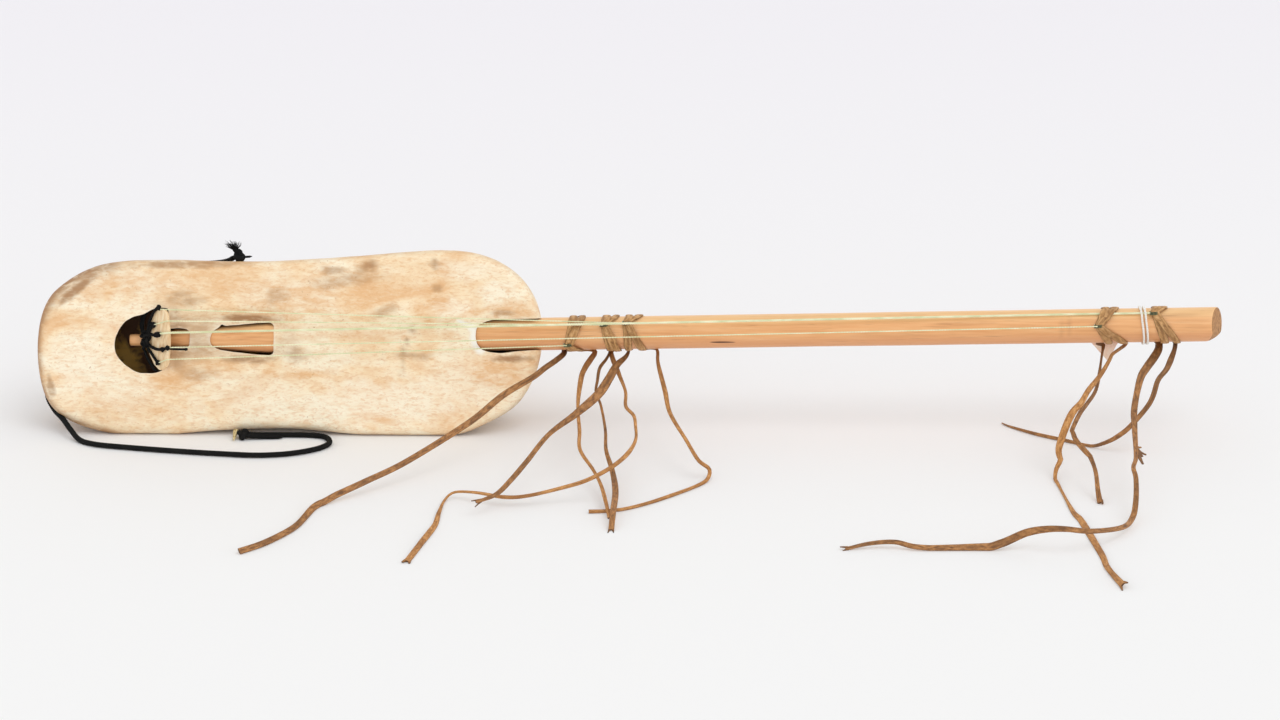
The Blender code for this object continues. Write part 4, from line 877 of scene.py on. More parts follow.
# the channel where the neck leaves the wall
bm = bmesh.new()
rows = []
for x in (SLOT_X + 12, BODY_LENGTH + 20):
    rows.append([bm.verts.new(round_neck(x, angle, neck_radius(x) + 0.5)) for angle in range(0, 360, 6)])
for i in range(len(rows[0])):
    j = (i + 1) % len(rows[0])
    bm.faces.new((rows[0][i], rows[0][j], rows[1][j], rows[1][i]))
for row in rows:
    bm.faces.new(row)
bmesh.ops.recalc_face_normals(bm, faces=bm.faces)
channel_mesh = bpy.data.meshes.new("channel")
bm.to_mesh(channel_mesh)
bm.free()
channel = bpy.data.objects.new("channel", channel_mesh)
bpy.context.scene.collection.objects.link(channel)
change = uncut.modifiers.new("channel", "BOOLEAN")
change.operation = "DIFFERENCE"
change.solver = "EXACT"
change.object = channel
bpy.context.view_layer.update()
cut_hide = bpy.data.meshes.new_from_object(uncut.evaluated_get(bpy.context.evaluated_depsgraph_get()))
for tool in [uncut, channel] + knives:
    bpy.data.objects.remove(tool)

# Stains and painted shade on the hide: its kind, its place along and across, half its length and width, turn, strength
HIDE_STAINS_AND_SHADE = [
    ("brown", 112, 35, 12, 5, -10, 0.55), ("brown", 180, 37, 9, 6, 20, 0.4),
    # painted shade above and below the small window
    ("brown", 104, 14.5, 7, 2.6, 0, 0.8), ("brown", 105, -6.5, 8, 3.2, 0, 0.65),
    # painted shade above and below the large window
    ("brown", 158, 20, 19, 2.8, 0, 0.9), ("brown", 158, -10.4, 19, 2.8, 0, 0.8),
    # the long mark along the top edge (110, 61) is partly dirt, partly painted shade
    ("brown", 29, 42, 21, 3.6, 40, 0.85), ("brown", 8, -31, 3, 9, 12, 0.7), ("brown", 110, 61, 44, 2.8, 1, 0.7),
    ("brown", 249, 60, 8, 5, 20, 0.7), ("brown", 224, 57, 8, 3.6, 0, 0.55), ("brown", 195, -6.5, 9, 5, 0, 0.45),
    ("brown", 262, 27, 9, 4, 20, 0.45), ("brown", 281, -7, 14, 3, 0, 0.5), ("brown", 277, -4, 2, 3, 0, 0.6),
    # the last mark here, above the slot, is painted shade
    ("brown", 299, 62, 3, 4, 0, 0.6), ("brown", 302, 44, 4, 3, 0, 0.5), ("brown", 352, 25.5, 9, 2.2, 0, 0.55),
    # the first mark here, below the slot, is painted shade
    ("brown", 360, -9, 13, 2.6, 2, 0.85), ("brown", 232, 50, 24, 5, 8, 0.4), ("brown", 120, -22, 14, 5, 0, 0.35),
    ("orange", 134, -18, 22, 8, 0, 0.6), ("orange", 300, 38, 10, 22, -20, 0.8), ("orange", 360, 27, 17, 9, 0, 0.7),
    ("orange", 350, -18, 26, 12, 8, 0.8), ("orange", 60, 45, 34, 10, 10, 0.6), ("orange", 210, 38, 60, 18, 5, 0.65),
    ("orange", 70, -48, 44, 9, 0, 0.35), ("orange", 200, -22, 24, 2.6, 4, 0.8), ("orange", 258, -55, 16, 3, -12, 0.6),
    ("orange", 120, 50, 60, 14, 0, 0.5), ("orange", 330, 26, 20, 2.5, 16, 0.6), ("orange", 372, 20, 4, 20, 12, 0.6),
    # painted shade, between and beside the windows and by the fan
    ("painted_shade_grey", 121.5, 5, 10, 12, 0, 0.6), ("painted_shade_grey", 100, 20, 13, 4, 0, 0.4), ("painted_shade_grey", 101, -12, 10, 5, 0, 0.45),
    ("painted_shade_grey", 187, 4, 9, 11, 0, 0.35), ("painted_shade_grey", 96, 30, 8, 3, 0, 0.3),
    # the two brown marks are the fan's painted shadow on the hide
    ("brown", 103, 20, 5, 8, 0, 0.45), ("brown", 103, -15, 5, 6, 0, 0.45), ("orange", 102, -28, 27, 7, 0, 0.7),
    # a painted shadow along the strings
    ("orange", 256, 8.5, 62, 3.4, 1, 0.45),
    ("pale", 312, 26, 17, 12, 0, 0.75), ("pale", 34, -16, 24, 24, 0, 0.7), ("pale", 258, -43, 72, 17, 0, 0.8),
    ("pale", 318, -30, 30, 22, 0, 0.6), ("pale", 170, -40, 40, 16, 0, 0.5), ("pale", 325, 58, 24, 8, 0, 0.6),
    ("pale", 170, 43, 24, 6, 0, 0.3), ("pale", 60, -40, 26, 10, 0, 0.5), ("pale", 345, 42, 16, 8, 10, 0.6),
    ("pale", 240, 12, 60, 6, 2, 0.5), ("pale", 60, 20, 20, 12, 0, 0.4),
]
KINDS = ("brown", "orange", "painted_shade_grey")


def stain_or_shade_at(kind, x, z):
    """How strong one kind of stain or painted shade is at a place on the face."""
    most = 0
    rough = 0.45 * noise.noise(Vector((x, z, 5)) / 9) + 0.25 * noise.noise(Vector((x, z, 2)) / 3)
    for name, at_x, at_z, long, wide, angle, strength in HIDE_STAINS_AND_SHADE:
        if name == kind and abs(x - at_x) + abs(z - at_z) < 2.2 * (long + wide):
            angle = math.radians(angle)
            dx, dz = x - at_x, z - at_z
            far = math.hypot((dx * math.cos(angle) + dz * math.sin(angle)) / long,
                             (dz * math.cos(angle) - dx * math.sin(angle)) / wide)
            most = max(most, strength * ease(1.45 - far - rough))
    return most


SCRATCH = [(284.6, 16.3), (279, 6), (275.6, -3.6), (274.6, -13), (274, -23.3)]
scratch = [Vector(a).lerp(Vector(b), s / 6) for a, b in zip(SCRATCH, SCRATCH[1:]) for s in range(6)]
# the lip of bare white hide that runs down the slot's left edge, painted whiter where its ridge catches the light:
# partly a painted highlight
LIP = [(317, 19.9), (326.9, 15.4), (330.4, 12.6), (329.8, 6.5), (331.2, 1.6), (334, -2.6)]
lip = [Vector(a).lerp(Vector(b), s / 8) for a, b in zip(LIP, LIP[1:]) for s in range(8)]
tail_rim = [Vector((p.x + hide_reach(p.x), p.y)) for p in edge if p.x < 80]
stains_and_shade, whites_and_highlight = [], []
to_body = BODY.inverted()
for vertex in cut_hide.vertices:
    q = to_body @ vertex.co / MM
    brown, orange, painted_shade_grey = (stain_or_shade_at(kind, q.x, q.z) for kind in KINDS)
    pale = stain_or_shade_at("pale", q.x, q.z)
    # painted shade: the hide's turned-down sides are browned, more towards the tail end and the lower side
    wall = ease((q.y - 0.4) / 6)
    shady = max(ease((150 - q.x) / 150), 0.7 * ease((-q.z - 25) / 25))
    brown = max(brown, wall * (0.35 + 0.6 * shady) * (0.75 + 0.5 * noise.noise(q / 22)))
    white = 0
    if q.y < 12:
        # a dark brown line round the tail-end rim: partly dirt, partly painted shade
        if q.x < 75:
            off_rim = min(math.hypot(q.x - p.x, q.z - p.y) for p in tail_rim)
            wider = 3.5 + 2.6 * ease((q.z - 5) / 25)
            brown = max(brown, bell(off_rim / wider) * ease((74 - q.x) / 26))
        if 268 < q.x < 290 and -26 < q.z < 19:
            brown = max(brown, 0.7 * bell(min(math.hypot(q.x - p.x, q.z - p.y) for p in scratch) / 1.2))
        if 52 < q.x < 182 and -26 < q.z < 32:
            white = 0.25 * bell(min(math.hypot(q.x - x, q.z - z) for x, z in RIMS) / 0.6)
        if 312 < q.x < 340 and -8 < q.z < 25:
            for n, p in enumerate(lip):
                white = max(white, ease(1.3 - math.hypot(q.x - p.x, q.z - p.y) / (1.0 + 3.2 * min(1, n / 12))))
        white = max(white, bell(math.hypot(q.x - 140, q.z - 17.2) / 2))
    stains_and_shade += (brown, orange, painted_shade_grey, pale)
    whites_and_highlight.append(white)
cut_hide.color_attributes.new("stains", "FLOAT_COLOR", "POINT").data.foreach_set("color", stains_and_shade)
cut_hide.attributes.new("scraped white", "FLOAT", "POINT").data.foreach_set("value", whites_and_highlight)

HIDE_LOOK = new_finish("cream raw hide", 0.5)
place = place_of(HIDE_LOOK)
wide_clouds = clouds(HIDE_LOOK, place_of(HIDE_LOOK, (0.55, 1, 1)), 34, 8, 0.7)
hair = clouds(HIDE_LOOK, place_of(HIDE_LOOK, (0.35, 1, 1)), 240, 6, 0.3)
grains = clouds(HIDE_LOOK, place_of(HIDE_LOOK, (0.4, 1, 1)), 640, 5, 0.8)
specks = clouds(HIDE_LOOK, place, 520, 3)
stains = put(HIDE_LOOK, "Attribute", {"attribute_name": "stains"})
kinds = put(HIDE_LOOK, "SeparateColor", Color=stains.outputs["Color"]).outputs
white_and_highlight = put(HIDE_LOOK, "Attribute", {"attribute_name": "scraped white"}).outputs["Fac"]
CREAM, PALE_CREAM, TAN = (0.94, 0.745, 0.49), (0.965, 0.86, 0.65), (0.83, 0.53, 0.28)
colour = shades(HIDE_LOOK, wide_clouds, (0.33, TAN), (0.46, CREAM), (0.60, PALE_CREAM))
colour = over(HIDE_LOOK, stains.outputs["Alpha"], colour, (0.965, 0.875, 0.69))
# the orange kind: stains, and a painted shadow along the strings
colour = over(HIDE_LOOK, times(HIDE_LOOK, kinds[1], sharper(HIDE_LOOK, hair, 2.5, -0.45)), colour, (0.78, 0.44, 0.19))
colour = over(HIDE_LOOK, times(HIDE_LOOK, 0.6, sharper(HIDE_LOOK, hair, 3.4, -1.6)), colour, (0.82, 0.52, 0.27))
colour = over(HIDE_LOOK, times(HIDE_LOOK, 0.5, sharper(HIDE_LOOK, grains, 5, -2.5)), colour, (0.74, 0.40, 0.17))
colour = over(HIDE_LOOK, times(HIDE_LOOK, 0.35, sharper(HIDE_LOOK, grains, -4, 1.8)), colour, (0.98, 0.90, 0.70))
# painted shade: the grey kind
colour = over(HIDE_LOOK, times(HIDE_LOOK, kinds[2], sharper(HIDE_LOOK, hair, 1.5, 0.1)), colour, (0.60, 0.39, 0.22))
# the brown kind: stains, and painted shade by the openings, the fan, the slot and on the walls
colour = over(HIDE_LOOK, times(HIDE_LOOK, kinds[0], sharper(HIDE_LOOK, hair, 2.6, -0.3)), colour, (0.36, 0.175, 0.065))
colour = over(HIDE_LOOK, times(HIDE_LOOK, sharper(HIDE_LOOK, specks, 7, -4.6), sharper(HIDE_LOOK, wide_clouds, 3, -1)),
              colour, (0.42, 0.19, 0.07))
# pale cut edges and the nick, and the slot lip's painted highlight
colour = over(HIDE_LOOK, white_and_highlight, colour, (0.97, 0.95, 0.88))
normal = raised(HIDE_LOOK, wide_clouds, 0.002, raised(HIDE_LOOK, hair, 0.0005, raised(HIDE_LOOK, grains, 0.00025)))
dress(HIDE_LOOK, colour, normal)
cut_hide.materials.clear()
cut_hide.materials.append(HIDE_LOOK)
cut_hide.shade_smooth()
cut_hide.set_sharp_from_angle(angle=math.radians(50))
hide = bpy.data.objects.new("stretched_hide", cut_hide)
bpy.context.scene.collection.objects.link(hide)
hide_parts("hide")
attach(hide, "body")

# Hide pegs. Eight small wooden pegs, whittled with flat facets, hold the hide's edge on the trough's back.
for i in range(1, 9):
    low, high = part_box("hide_peg_%d" % i)
    centre = to_body @ ((Vector(low) + Vector(high)) / 2)
    luck = random.Random(i)
    bm = bmesh.new()
    line = [BODY @ (centre + Vector((0, t, 0)) * MM) for t in (-0.8, -0.5, 0.1, 0.5, 0.8)]
    sizes = (1.7, 2.35, 2.55, 2.3, 1.4)
    corners = [luck.uniform(0.86, 1.05) for _ in range(7)]

    def head_section(i):
        return [(sizes[i] * MM * c * math.cos(0.8976 * j), sizes[i] * MM * c * math.sin(0.8976 * j))
                for j, c in enumerate(corners)]

    lay_strand(bm, line, carried(line), head_section)
    as_piece("whittled_hide_peg_%d" % i, bm, [PEG_WOOD], "hide_peg_%d" % i, sharp=20)

# Neck. A straight stick of orange-brown wood, worn smooth by hands, thinned to a tip that ends in the sound
# hole. Its far end is sawn on a slant and one corner is knocked off.
NECK_ROUND = 60
END_SLANT, END_CORNER, END_BEYOND = math.radians(22.5), 5, 1.2


def neck_wood(name, dark, middle, light, grain_way, roughness, marks=False):
    """Stick wood: long fine grain, pores as short dark dashes, and a paler top and a redder lower side that are painted
    light and painted shade.
    """
    made = new_finish(name, roughness)
    fine = clouds(made, place_of(made, grain_way), 420, 6, 0.2)
    bands = clouds(made, place_of(made, (grain_way[0] * 0.5, 1, 1)), 60, 4, 0.5)
    dashes = clouds(made, place_of(made, tuple(0.6 * v for v in grain_way)), 1500, 2)
    colour = shades(made, fine, (0.3, dark), (0.5, middle), (0.7, light))
    colour = over(made, times(made, 0.7, sharper(made, bands, 2.4, -0.9)), colour, middle)
    if marks:
        layer = put(made, "Attribute", {"attribute_name": "wear"})
        sides = put(made, "SeparateColor", Color=layer.outputs["Color"]).outputs
        # painted light and shade: a paler top and a redder lower side
        colour = over(made, times(made, 0.6, sides[0]), colour, (0.90, 0.60, 0.29))
        colour = over(made, times(made, 0.6, sides[1]), colour, (0.70, 0.32, 0.15))
        colour = over(made, times(made, sides[2], sharper(made, dashes, 2.5, -0.4)), colour, (0.35, 0.14, 0.05))
        # one dark streak at mid-length, where the bark was not scraped off
        where = put(made, "TexCoord").outputs["Object"]
        near = put(made, "Mapping", {"vector_type": "TEXTURE"}, Vector=where, Location=by_neck(517, -7.6, 10.5),
                   Scale=Vector((10.4, 6, 0.8)) * MM).outputs["Vector"]
        far = put(made, "VectorMath", {"operation": "LENGTH"})
        join(made, near, far.inputs[0])
        streak = times(made, sharper(made, far.outputs["Value"], -5, 5), sharper(made, dashes, 4, -0.9))
        colour = over(made, streak, colour, (0.10, 0.04, 0.015))
    colour = over(made, times(made, 0.6, sharper(made, dashes, 5, -3.1)), colour, tuple(0.5 * c for c in dark))
    return dress(made, colour, raised(made, fine, 0.0003, raised(made, dashes, 0.00012)))


STICK_WOOD = neck_wood("worn stick wood", (0.69, 0.315, 0.12), (0.82, 0.42, 0.175), (0.89, 0.52, 0.25), (0.045, 1, 1),
                       0.42, True)
END_WOOD = neck_wood("stick end grain", (0.22, 0.10, 0.03), (0.42, 0.20, 0.07), (0.56, 0.30, 0.12), (1, 1, 1), 0.7)
bm = bmesh.new()
rows = []
places = [0, 0.25, 0.8] + [3 * i for i in range(1, 272)]
for place in places:
    row = []
    for j in range(NECK_ROUND):
        angle = 2 * math.pi * j / NECK_ROUND
        radius = neck_radius(NECK_TIP + place)
        if place < 0.8:
            radius -= (0.8, 0.3)[0 if place == 0 else 1]
        uneven = noise.noise(Vector((math.cos(angle), math.sin(angle), place / 70)))
        radius += 0.9 * ease((place - 29) / 8) * ease((122 - place) / 20) * max(0, math.sin(angle))
        radius += 0.12 * uneven - 0.06 + 0.05 * noise.noise(Vector((2 * math.cos(angle), 2 * math.sin(angle), place / 16)))
        row.append(NECK @ (Vector((radius * math.cos(angle), -radius * math.sin(angle), place)) * MM))
    rows.append([bm.verts.new(p) for p in row])
wood_rows = len(rows)
for back_from_end, inset in ((1.6, 0), (0.7, 0.1), (0.25, 0.4), (0, 1.0), (0, 4.5), (0, 9.0)):
    row = []
    for j in range(NECK_ROUND):
        angle = 2 * math.pi * j / NECK_ROUND
        full = neck_radius(NECK_TIP + NECK_LENGTH) - 0.06
        radius = full - inset
        out, down = radius * math.cos(angle), -radius * math.sin(angle)
        end = NECK_LENGTH + END_BEYOND - out * math.tan(END_SLANT)
        knocked = max(0, down - (full - END_CORNER - 1.5))
        end -= knocked * (0.35 + 0.65 * knocked / (END_CORNER + 1.5))
        row.append(NECK @ (Vector((out, down, end - back_from_end)) * MM))
    rows.append([bm.verts.new(p) for p in row])
for n, (a, b) in enumerate(zip(rows, rows[1:])):
    for j in range(NECK_ROUND):
        k = (j + 1) % NECK_ROUND
        face = bm.faces.new((a[j], a[k], b[k], b[j]))
        face.smooth = True
        face.material_index = 1 if n >= wood_rows + 2 else 0
bm.faces.new(rows[0])
bm.faces.new(list(reversed(rows[-1]))).material_index = 1
bmesh.ops.recalc_face_normals(bm, faces=bm.faces)
stick = as_piece("neck_stick", bm, [STICK_WOOD, END_WOOD], "neck", sharp=35)
# Marks on the stick: the place along, the place across its front, half length, half width, strength
MARKS = [
    (862, 8, 15, 1.4, 0.28), (868, 3.5, 13, 1.2, 0.25), (872, -1.5, 10, 1.2, 0.22),
    (777, 2, 1.6, 8, 0.25), (772, -1, 1.4, 6, 0.2), (700, 4, 20, 1.2, 0.2), (640, -4, 26, 1.2, 0.2),
]
wear = stick.data.color_attributes.new("wear", "FLOAT_COLOR", "POINT")
to_stick = NECK.inverted()
for i, vertex in enumerate(stick.data.vertices):
    q = to_stick @ vertex.co / MM
    across = -q.y
    dark = 0
    for at, up, long, wide, strength in MARKS:
        if q.x > 0:
            dark = max(dark, strength * ease(1.6 - math.hypot((q.z + NECK_TIP - at) / long, (across - up) / wide)))
    # red: painted light on the stick's top; green: painted shade on its lower side; blue: its dark marks
    wear.data[i].color = (ease((across - 4) / 5), ease((-across - 2) / 7), dark, 1)

# Fan bridge. A thin fan of pale dry wood, cut with a knife and set astride the neck's tip; its wide edge
# carries the strings.
FAN_LEAN = math.radians(41)
FAN_THICK = 3.0
# its outline, across and up from its foot
FAN_OUTLINE = [
    (24.6, 17), (24.2, 21), (22.7, 23.6), (20.1, 24.7), (15.5, 25.5), (8.2, 26.2), (1.6, 26.2), (-5.1, 25.8),
    (-10.5, 24.9), (-15.1, 24.5), (-18.9, 22.3), (-21.1, 19.2), (-22.3, 14.9), (-18, 8.7), (-11.6, 4.4), (-6.5, 1.7),
    (0, -1.7), (6, 0), (12.2, 3.5), (17.7, 7), (22, 11.4),
]
fan_up = Vector((math.sin(FAN_LEAN), 0, math.cos(FAN_LEAN)))
fan_across = Vector((0, -1, 0))
FAN = Matrix.Translation(Vector((3.6, 0, 12.6)) * MM)
FAN = NECK @ FAN @ Matrix((fan_across, fan_up, fan_across.cross(fan_up))).transposed().to_4x4()
FAN_WOOD = new_finish("pale dry fan wood", 0.65)
fan_grain = clouds(FAN_WOOD, place_of(FAN_WOOD, (1, 1, 0.2)), 420, 6, 0.5)
fan_spots = clouds(FAN_WOOD, place_of(FAN_WOOD), 130, 4)
colour = shades(FAN_WOOD, fan_grain, (0.3, (0.72, 0.47, 0.24)), (0.5, (0.88, 0.66, 0.40)), (0.7, (0.95, 0.80, 0.56)))
colour = over(FAN_WOOD, times(FAN_WOOD, 0.6, sharper(FAN_WOOD, fan_spots, 3, -1.6)), colour, (0.70, 0.42, 0.19))
dress(FAN_WOOD, colour, raised(FAN_WOOD, fan_grain, 0.0004))
bm = bmesh.new()
outline = by_hand(FAN_OUTLINE, 0.12, 0.9)
faces = [[bm.verts.new(FAN @ (Vector((x, y + 1.3, off)) * MM)) for x, y in outline] for off in (-FAN_THICK / 2, FAN_THICK / 2)]
for i in range(len(outline)):
    j = (i + 1) % len(outline)
    bm.faces.new((faces[0][i], faces[0][j], faces[1][j], faces[1][i])).smooth = True
for face in faces:
    bm.faces.new(face)
bmesh.ops.recalc_face_normals(bm, faces=bm.faces)
fan = as_piece("fan_of_pale_wood", bm, [FAN_WOOD], "fan_bridge", sharp=40)
softer = fan.modifiers.new("worn edges", "BEVEL")
softer.width = 0.7 * MM
softer.segments = 3
softer.limit_method = "ANGLE"
softer.angle_limit = math.radians(40)
softer.harden_normals = False


# Anchor lashing. A thinner black cord goes round the neck's tip behind the bridge, is knotted there, and
# sends five ends over the fan, each with a knot that a string is tied to.
def on_fan(across, up, off):
    """A point that stands off the fan's outer face and is seen from the front at a place across and up on it."""
    return FAN @ (Vector((across, up + SEEN_HIGHER * off, -off)) * MM)


SEEN_HIGHER = 0.87
ANCHOR_PITCH = 2.2
ANCHOR_LOOK = black_braid("black anchor cord", 2200)
CORD_THICK = 1.08
LASHED = 14.6
bm = bmesh.new()
lash = []
for i in range(2 * 40 + 1):
    turns = i / 40
    place = LASHED - 1.9 + 1.7 * turns + 0.4 * math.sin(2 * math.pi * turns + 1)
    lash.append(round_neck(NECK_TIP + place, 360 * turns, neck_radius(NECK_TIP + LASHED) + 1.2))
lash, _ = smooth_line(lash, 0.5 * MM)
lay_braid(bm, lash, CORD_THICK, ANCHOR_PITCH)
# a second, loose turn across the first ones, and the knots that gather the ends
for lean, wide in ((2.4, 7.4), (-2.2, 6.9)):
    cross = [round_neck(NECK_TIP + LASHED + lean * math.cos(math.radians(9 * i)), 9 * i + 20, wide) for i in range(41)]
    cross, _ = smooth_line(cross, 0.5 * MM)
    lay_braid(bm, cross, CORD_THICK, ANCHOR_PITCH)
for across, up, off, size, turn in ((1.0, 1.7, 4.2, 3.6, 0), (-3.2, -0.6, 3.8, 2.8, 1), (4.4, -0.9, 3.6, 2.8, 2)):
    turned = FAN.to_3x3() @ Matrix.Rotation(turn, 3, "Z")
    lay_knot(bm, on_fan(across, up, off), size, CORD_THICK, ANCHOR_PITCH, turned)
# the strands that run round the fan's shoulders to its back
for points in (
        [(2, -1, 3), (5.3, -1.7, 2.6), (11.2, -2.6, 2.2), (18, -0.4, 1.6), (21.8, 3.5, 1.4), (24.4, 7.9, 1.2), (25.6, 12, 0.6)],
        [(2, -2, 3.4), (6.2, -3.4, 2.6), (11.9, -4.5, 2.0), (19.3, -2, 1.4), (23.4, 2.6, 1.2), (25.8, 7.6, 0.8), (26, 11, 0)],
        [(-3, -1.2, 3), (-5.3, -1.7, 2.4), (-10.6, 0, 1.8), (-15.7, 3.5, 1.4), (-21.3, 8.7, 1.2), (-23, 12.4, 0.4)]):
    strand, _ = smooth_line([on_fan(*p) for p in points], 0.5 * MM)
    lay_braid(bm, strand, CORD_THICK, ANCHOR_PITCH, ends=0.5)
as_piece("lashing_round_the_tip", bm, [ANCHOR_LOOK], "anchor_lashing")

# Of each string: its start on the fan, across and up, its place on the fan's edge, its ring, its radius, and
# its number of strands
STRINGS = [
    ((25.9, 16.6), (24.3, 19), 3, 0.55, 2),
    ((12.4, 10), (15.8, 25.7), 2, 0.55, 2),
    ((6.2, 18), (6.95, 26.2), 5, 0.95, 3),
    ((-5.8, 20.1), (-4.3, 25.9), 4, 0.55, 2),
    ((-16.4, 14), (-13.4, 24.7), 1, 0.55, 2),
]
ANCHOR_OFF = 2.6
# Of each anchor end: its way over the fan, and its knots with their sizes
ANCHOR_WAYS = [
    ([(4, 1.6), (8.2, 3.5), (13, 4.8), (17.1, 7), (21.9, 10.5), (24.8, 14), (25.9, 16.6)], [(25.7, 16.4, 1.3)]),
    ([(2.2, 1.6), (5.4, 4), (9, 6.4), (11.9, 8.7)], [(11.7, 8.5, 1.9), (12.5, 9.8, 1.5)]),
    ([(2.6, 1.4), (5, 4.4), (4.6, 10.5), (4.9, 14), (6.3, 18.6)], [(4.7, 12.8, 1.3), (5.0, 14.8, 1.3)]),
    ([(-1, 1), (-2.7, 3.5), (-4.8, 7.9), (-6.1, 14), (-5.8, 20.1), (-4.4, 25.6)], [(-5.9, 19.6, 1.2), (-4.5, 25.2, 1.1)]),
    ([(-3.2, 0.6), (-5.1, 2.2), (-8.9, 6.1), (-13.3, 10.5), (-16.7, 14)], [(-16.3, 13.7, 1.2)]),
]
for i, (way, knots) in enumerate(ANCHOR_WAYS):
    bm = bmesh.new()
    line, _ = smooth_line([on_fan(across, up, ANCHOR_OFF + 0.3) for across, up in way], 0.4 * MM)
    lay_braid(bm, line, CORD_THICK, ANCHOR_PITCH)
    for n, (across, up, size) in enumerate(knots):
        turned = FAN.to_3x3() @ Matrix.Rotation(0.9 * i + 1.7 * n, 3, "Z")
        lay_knot(bm, on_fan(across, up, ANCHOR_OFF + 0.4), size, CORD_THICK, ANCHOR_PITCH, turned, 1.0)
    if i == 3:
        loose, _ = smooth_line([on_fan(-4.5, 25.2, 3.2), by_neck(102, -5.7, 20.4), by_neck(107, -6.1, 19.2),
                                by_neck(112.6, -6.3, 17.6)], 0.4 * MM)
        lay_braid(bm, loose, 0.85, ANCHOR_PITCH)
        lay_knot(bm, loose[-3], 0.9, 0.6, ANCHOR_PITCH)
    as_piece("anchor_end_%d" % (i + 1), bm, [ANCHOR_LOOK], "anchor_cord_%d" % (i + 1))


# Strings. Four of thin twisted nylon line and a thicker one of three strands, pale yellow-green, from their
# anchor knots over the fan's edge to their rings, each tied with a loop round the ring's thong.
def straight_line(corners, spacing):
    """A line through corners, read closely."""
    out = [corners[0]]
    for a, b in zip(corners, corners[1:]):
        steps = max(1, round((b - a).length / spacing))
        out += [a.lerp(b, s / steps) for s in range(1, steps + 1)]
    return out


def lay_twist(bm, line, radius, plies, pitch, around=5, look=0):
    """Adds a line of strands that are twisted round each other."""
    ply = radius * (0.52 if plies == 2 else 0.47)
    ways = headings(line)
    firsts = carried(line)
    strands = [[] for _ in range(plies)]
    far = 0
    for i, p in enumerate(line):
        if i:
            far += (p - line[i - 1]).length / MM
        for n in range(plies):
            angle = 2 * math.pi * (far / pitch + n / plies)
            side = firsts[i] * math.cos(angle) + ways[i].cross(firsts[i]) * math.sin(angle)
            strands[n].append(p + side * ((radius - ply) * MM))
    section = [(ply * MM * math.cos(2 * math.pi * j / around), ply * MM * math.sin(2 * math.pi * j / around))
               for j in range(around)]
    for strand in strands:
        lay_strand(bm, strand, carried(strand), lambda i: section, lambda j: look)


NYLON = new_finish("pale yellow-green nylon", 0.35)
strands_seen = clouds(NYLON, place_of(NYLON, (0.3, 1, 1)), 300, 4)
colour = shades(NYLON, strands_seen, (0.35, (0.70, 0.72, 0.42)), (0.65, (0.93, 0.92, 0.66)))
dress(NYLON, colour, raised(NYLON, strands_seen, 0.0001))
# the wraps round the rings are coloured a dark olive
DARK_WRAP_NYLON = new_finish("dark olive nylon of the wraps", 0.6)
wrap_clouds = clouds(DARK_WRAP_NYLON, place_of(DARK_WRAP_NYLON), 900, 4)
colour = shades(DARK_WRAP_NYLON, wrap_clouds, (0.35, (0.05, 0.062, 0.028)), (0.65, (0.17, 0.175, 0.08)))
dress(DARK_WRAP_NYLON, colour, raised(DARK_WRAP_NYLON, wrap_clouds, 0.0001))
WRAP_HALF = 2.9
NUT_PLACE, HELD_PLACE = 834.5, 782
for i, ((across, up), (edge_across, edge_up), k, radius, plies) in enumerate(STRINGS):
    place, shift, at_ring = RINGS[k - 1][:3]
    place += shift
    top = on_fan(edge_across, edge_up - 0.6, 1.8 + 0.9 * radius)
    corners = [on_fan(across, up, ANCHOR_OFF + 0.8), top]
    if k == 5:
        on_neck = 0.4 + radius
        for x, room in ((HELD_PLACE, on_neck), (NUT_PLACE + 1.5, on_neck), (NUT_PLACE + 4.5, 1.8)):
            corners.append(by_neck(x, at_ring, math.sqrt((neck_radius(x) + room) ** 2 - at_ring ** 2)))
    else:
        corners.append(by_neck(place - 1.0, at_ring, math.sqrt(16.6 ** 2 - at_ring ** 2)))
    bm = bmesh.new()
    lay_twist(bm, straight_line(corners, 0.7 * MM), radius, plies, 4.2 if plies == 2 else 5.4)
    end = corners[-1]
    # three turns round the thong at the ring's point
    wrap = []
    for n in range(3 * 24 + 1):
        angle = 2 * math.pi * n / 24
        across = at_ring + 1.05 * (n / 36 - 1)
        above = math.sqrt(16.2 ** 2 - across ** 2)
        under = math.sqrt((neck_radius(place) + 0.45) ** 2 - across ** 2)
        out = (above + under) / 2 + (above - under) / 2 * math.sin(angle)
        wrap.append(by_neck(place - 0.4 - WRAP_HALF * math.cos(angle), across, out))
    wrap, _ = smooth_line(wrap, 0.5 * MM)
    lay_twist(bm, wrap, 0.5, 2, 2.4, look=1)
    string = as_piece("nylon_string_%d" % (i + 1), bm, [NYLON, DARK_WRAP_NYLON], "string_%d" % (i + 1), None)
    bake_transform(string)

# Nut binding. Two turns of white thread tie the third string down to the stick.
THREAD = new_finish("white two-ply thread", 0.8)
thread_fibres = clouds(THREAD, place_of(THREAD), 1400, 4)
colour = shades(THREAD, thread_fibres, (0.3, (0.74, 0.71, 0.64)), (0.6, (0.96, 0.95, 0.92)))
dress(THREAD, colour, raised(THREAD, thread_fibres, 0.0002))
NUT_RADIUS, NUT_APART = 0.95, 2.9
bm = bmesh.new()
turns_line = []
for i in range(2 * 48 + 1):
    angle = 200 + 360 * i / 48
    off = abs((angle - HELD_ANGLE + 180) % 360 - 180)
    radius = neck_radius(NUT_PLACE) + 1.1 + HELD_RISE * min(1, max(0, (22 - off) / 13))
    place = NUT_PLACE + NUT_APART * (i / 48 - 0.94) - 2 * math.sin(math.radians(angle))
    turns_line.append(round_neck(place, angle, radius))
turns_line, _ = smooth_line(turns_line, 0.5 * MM)
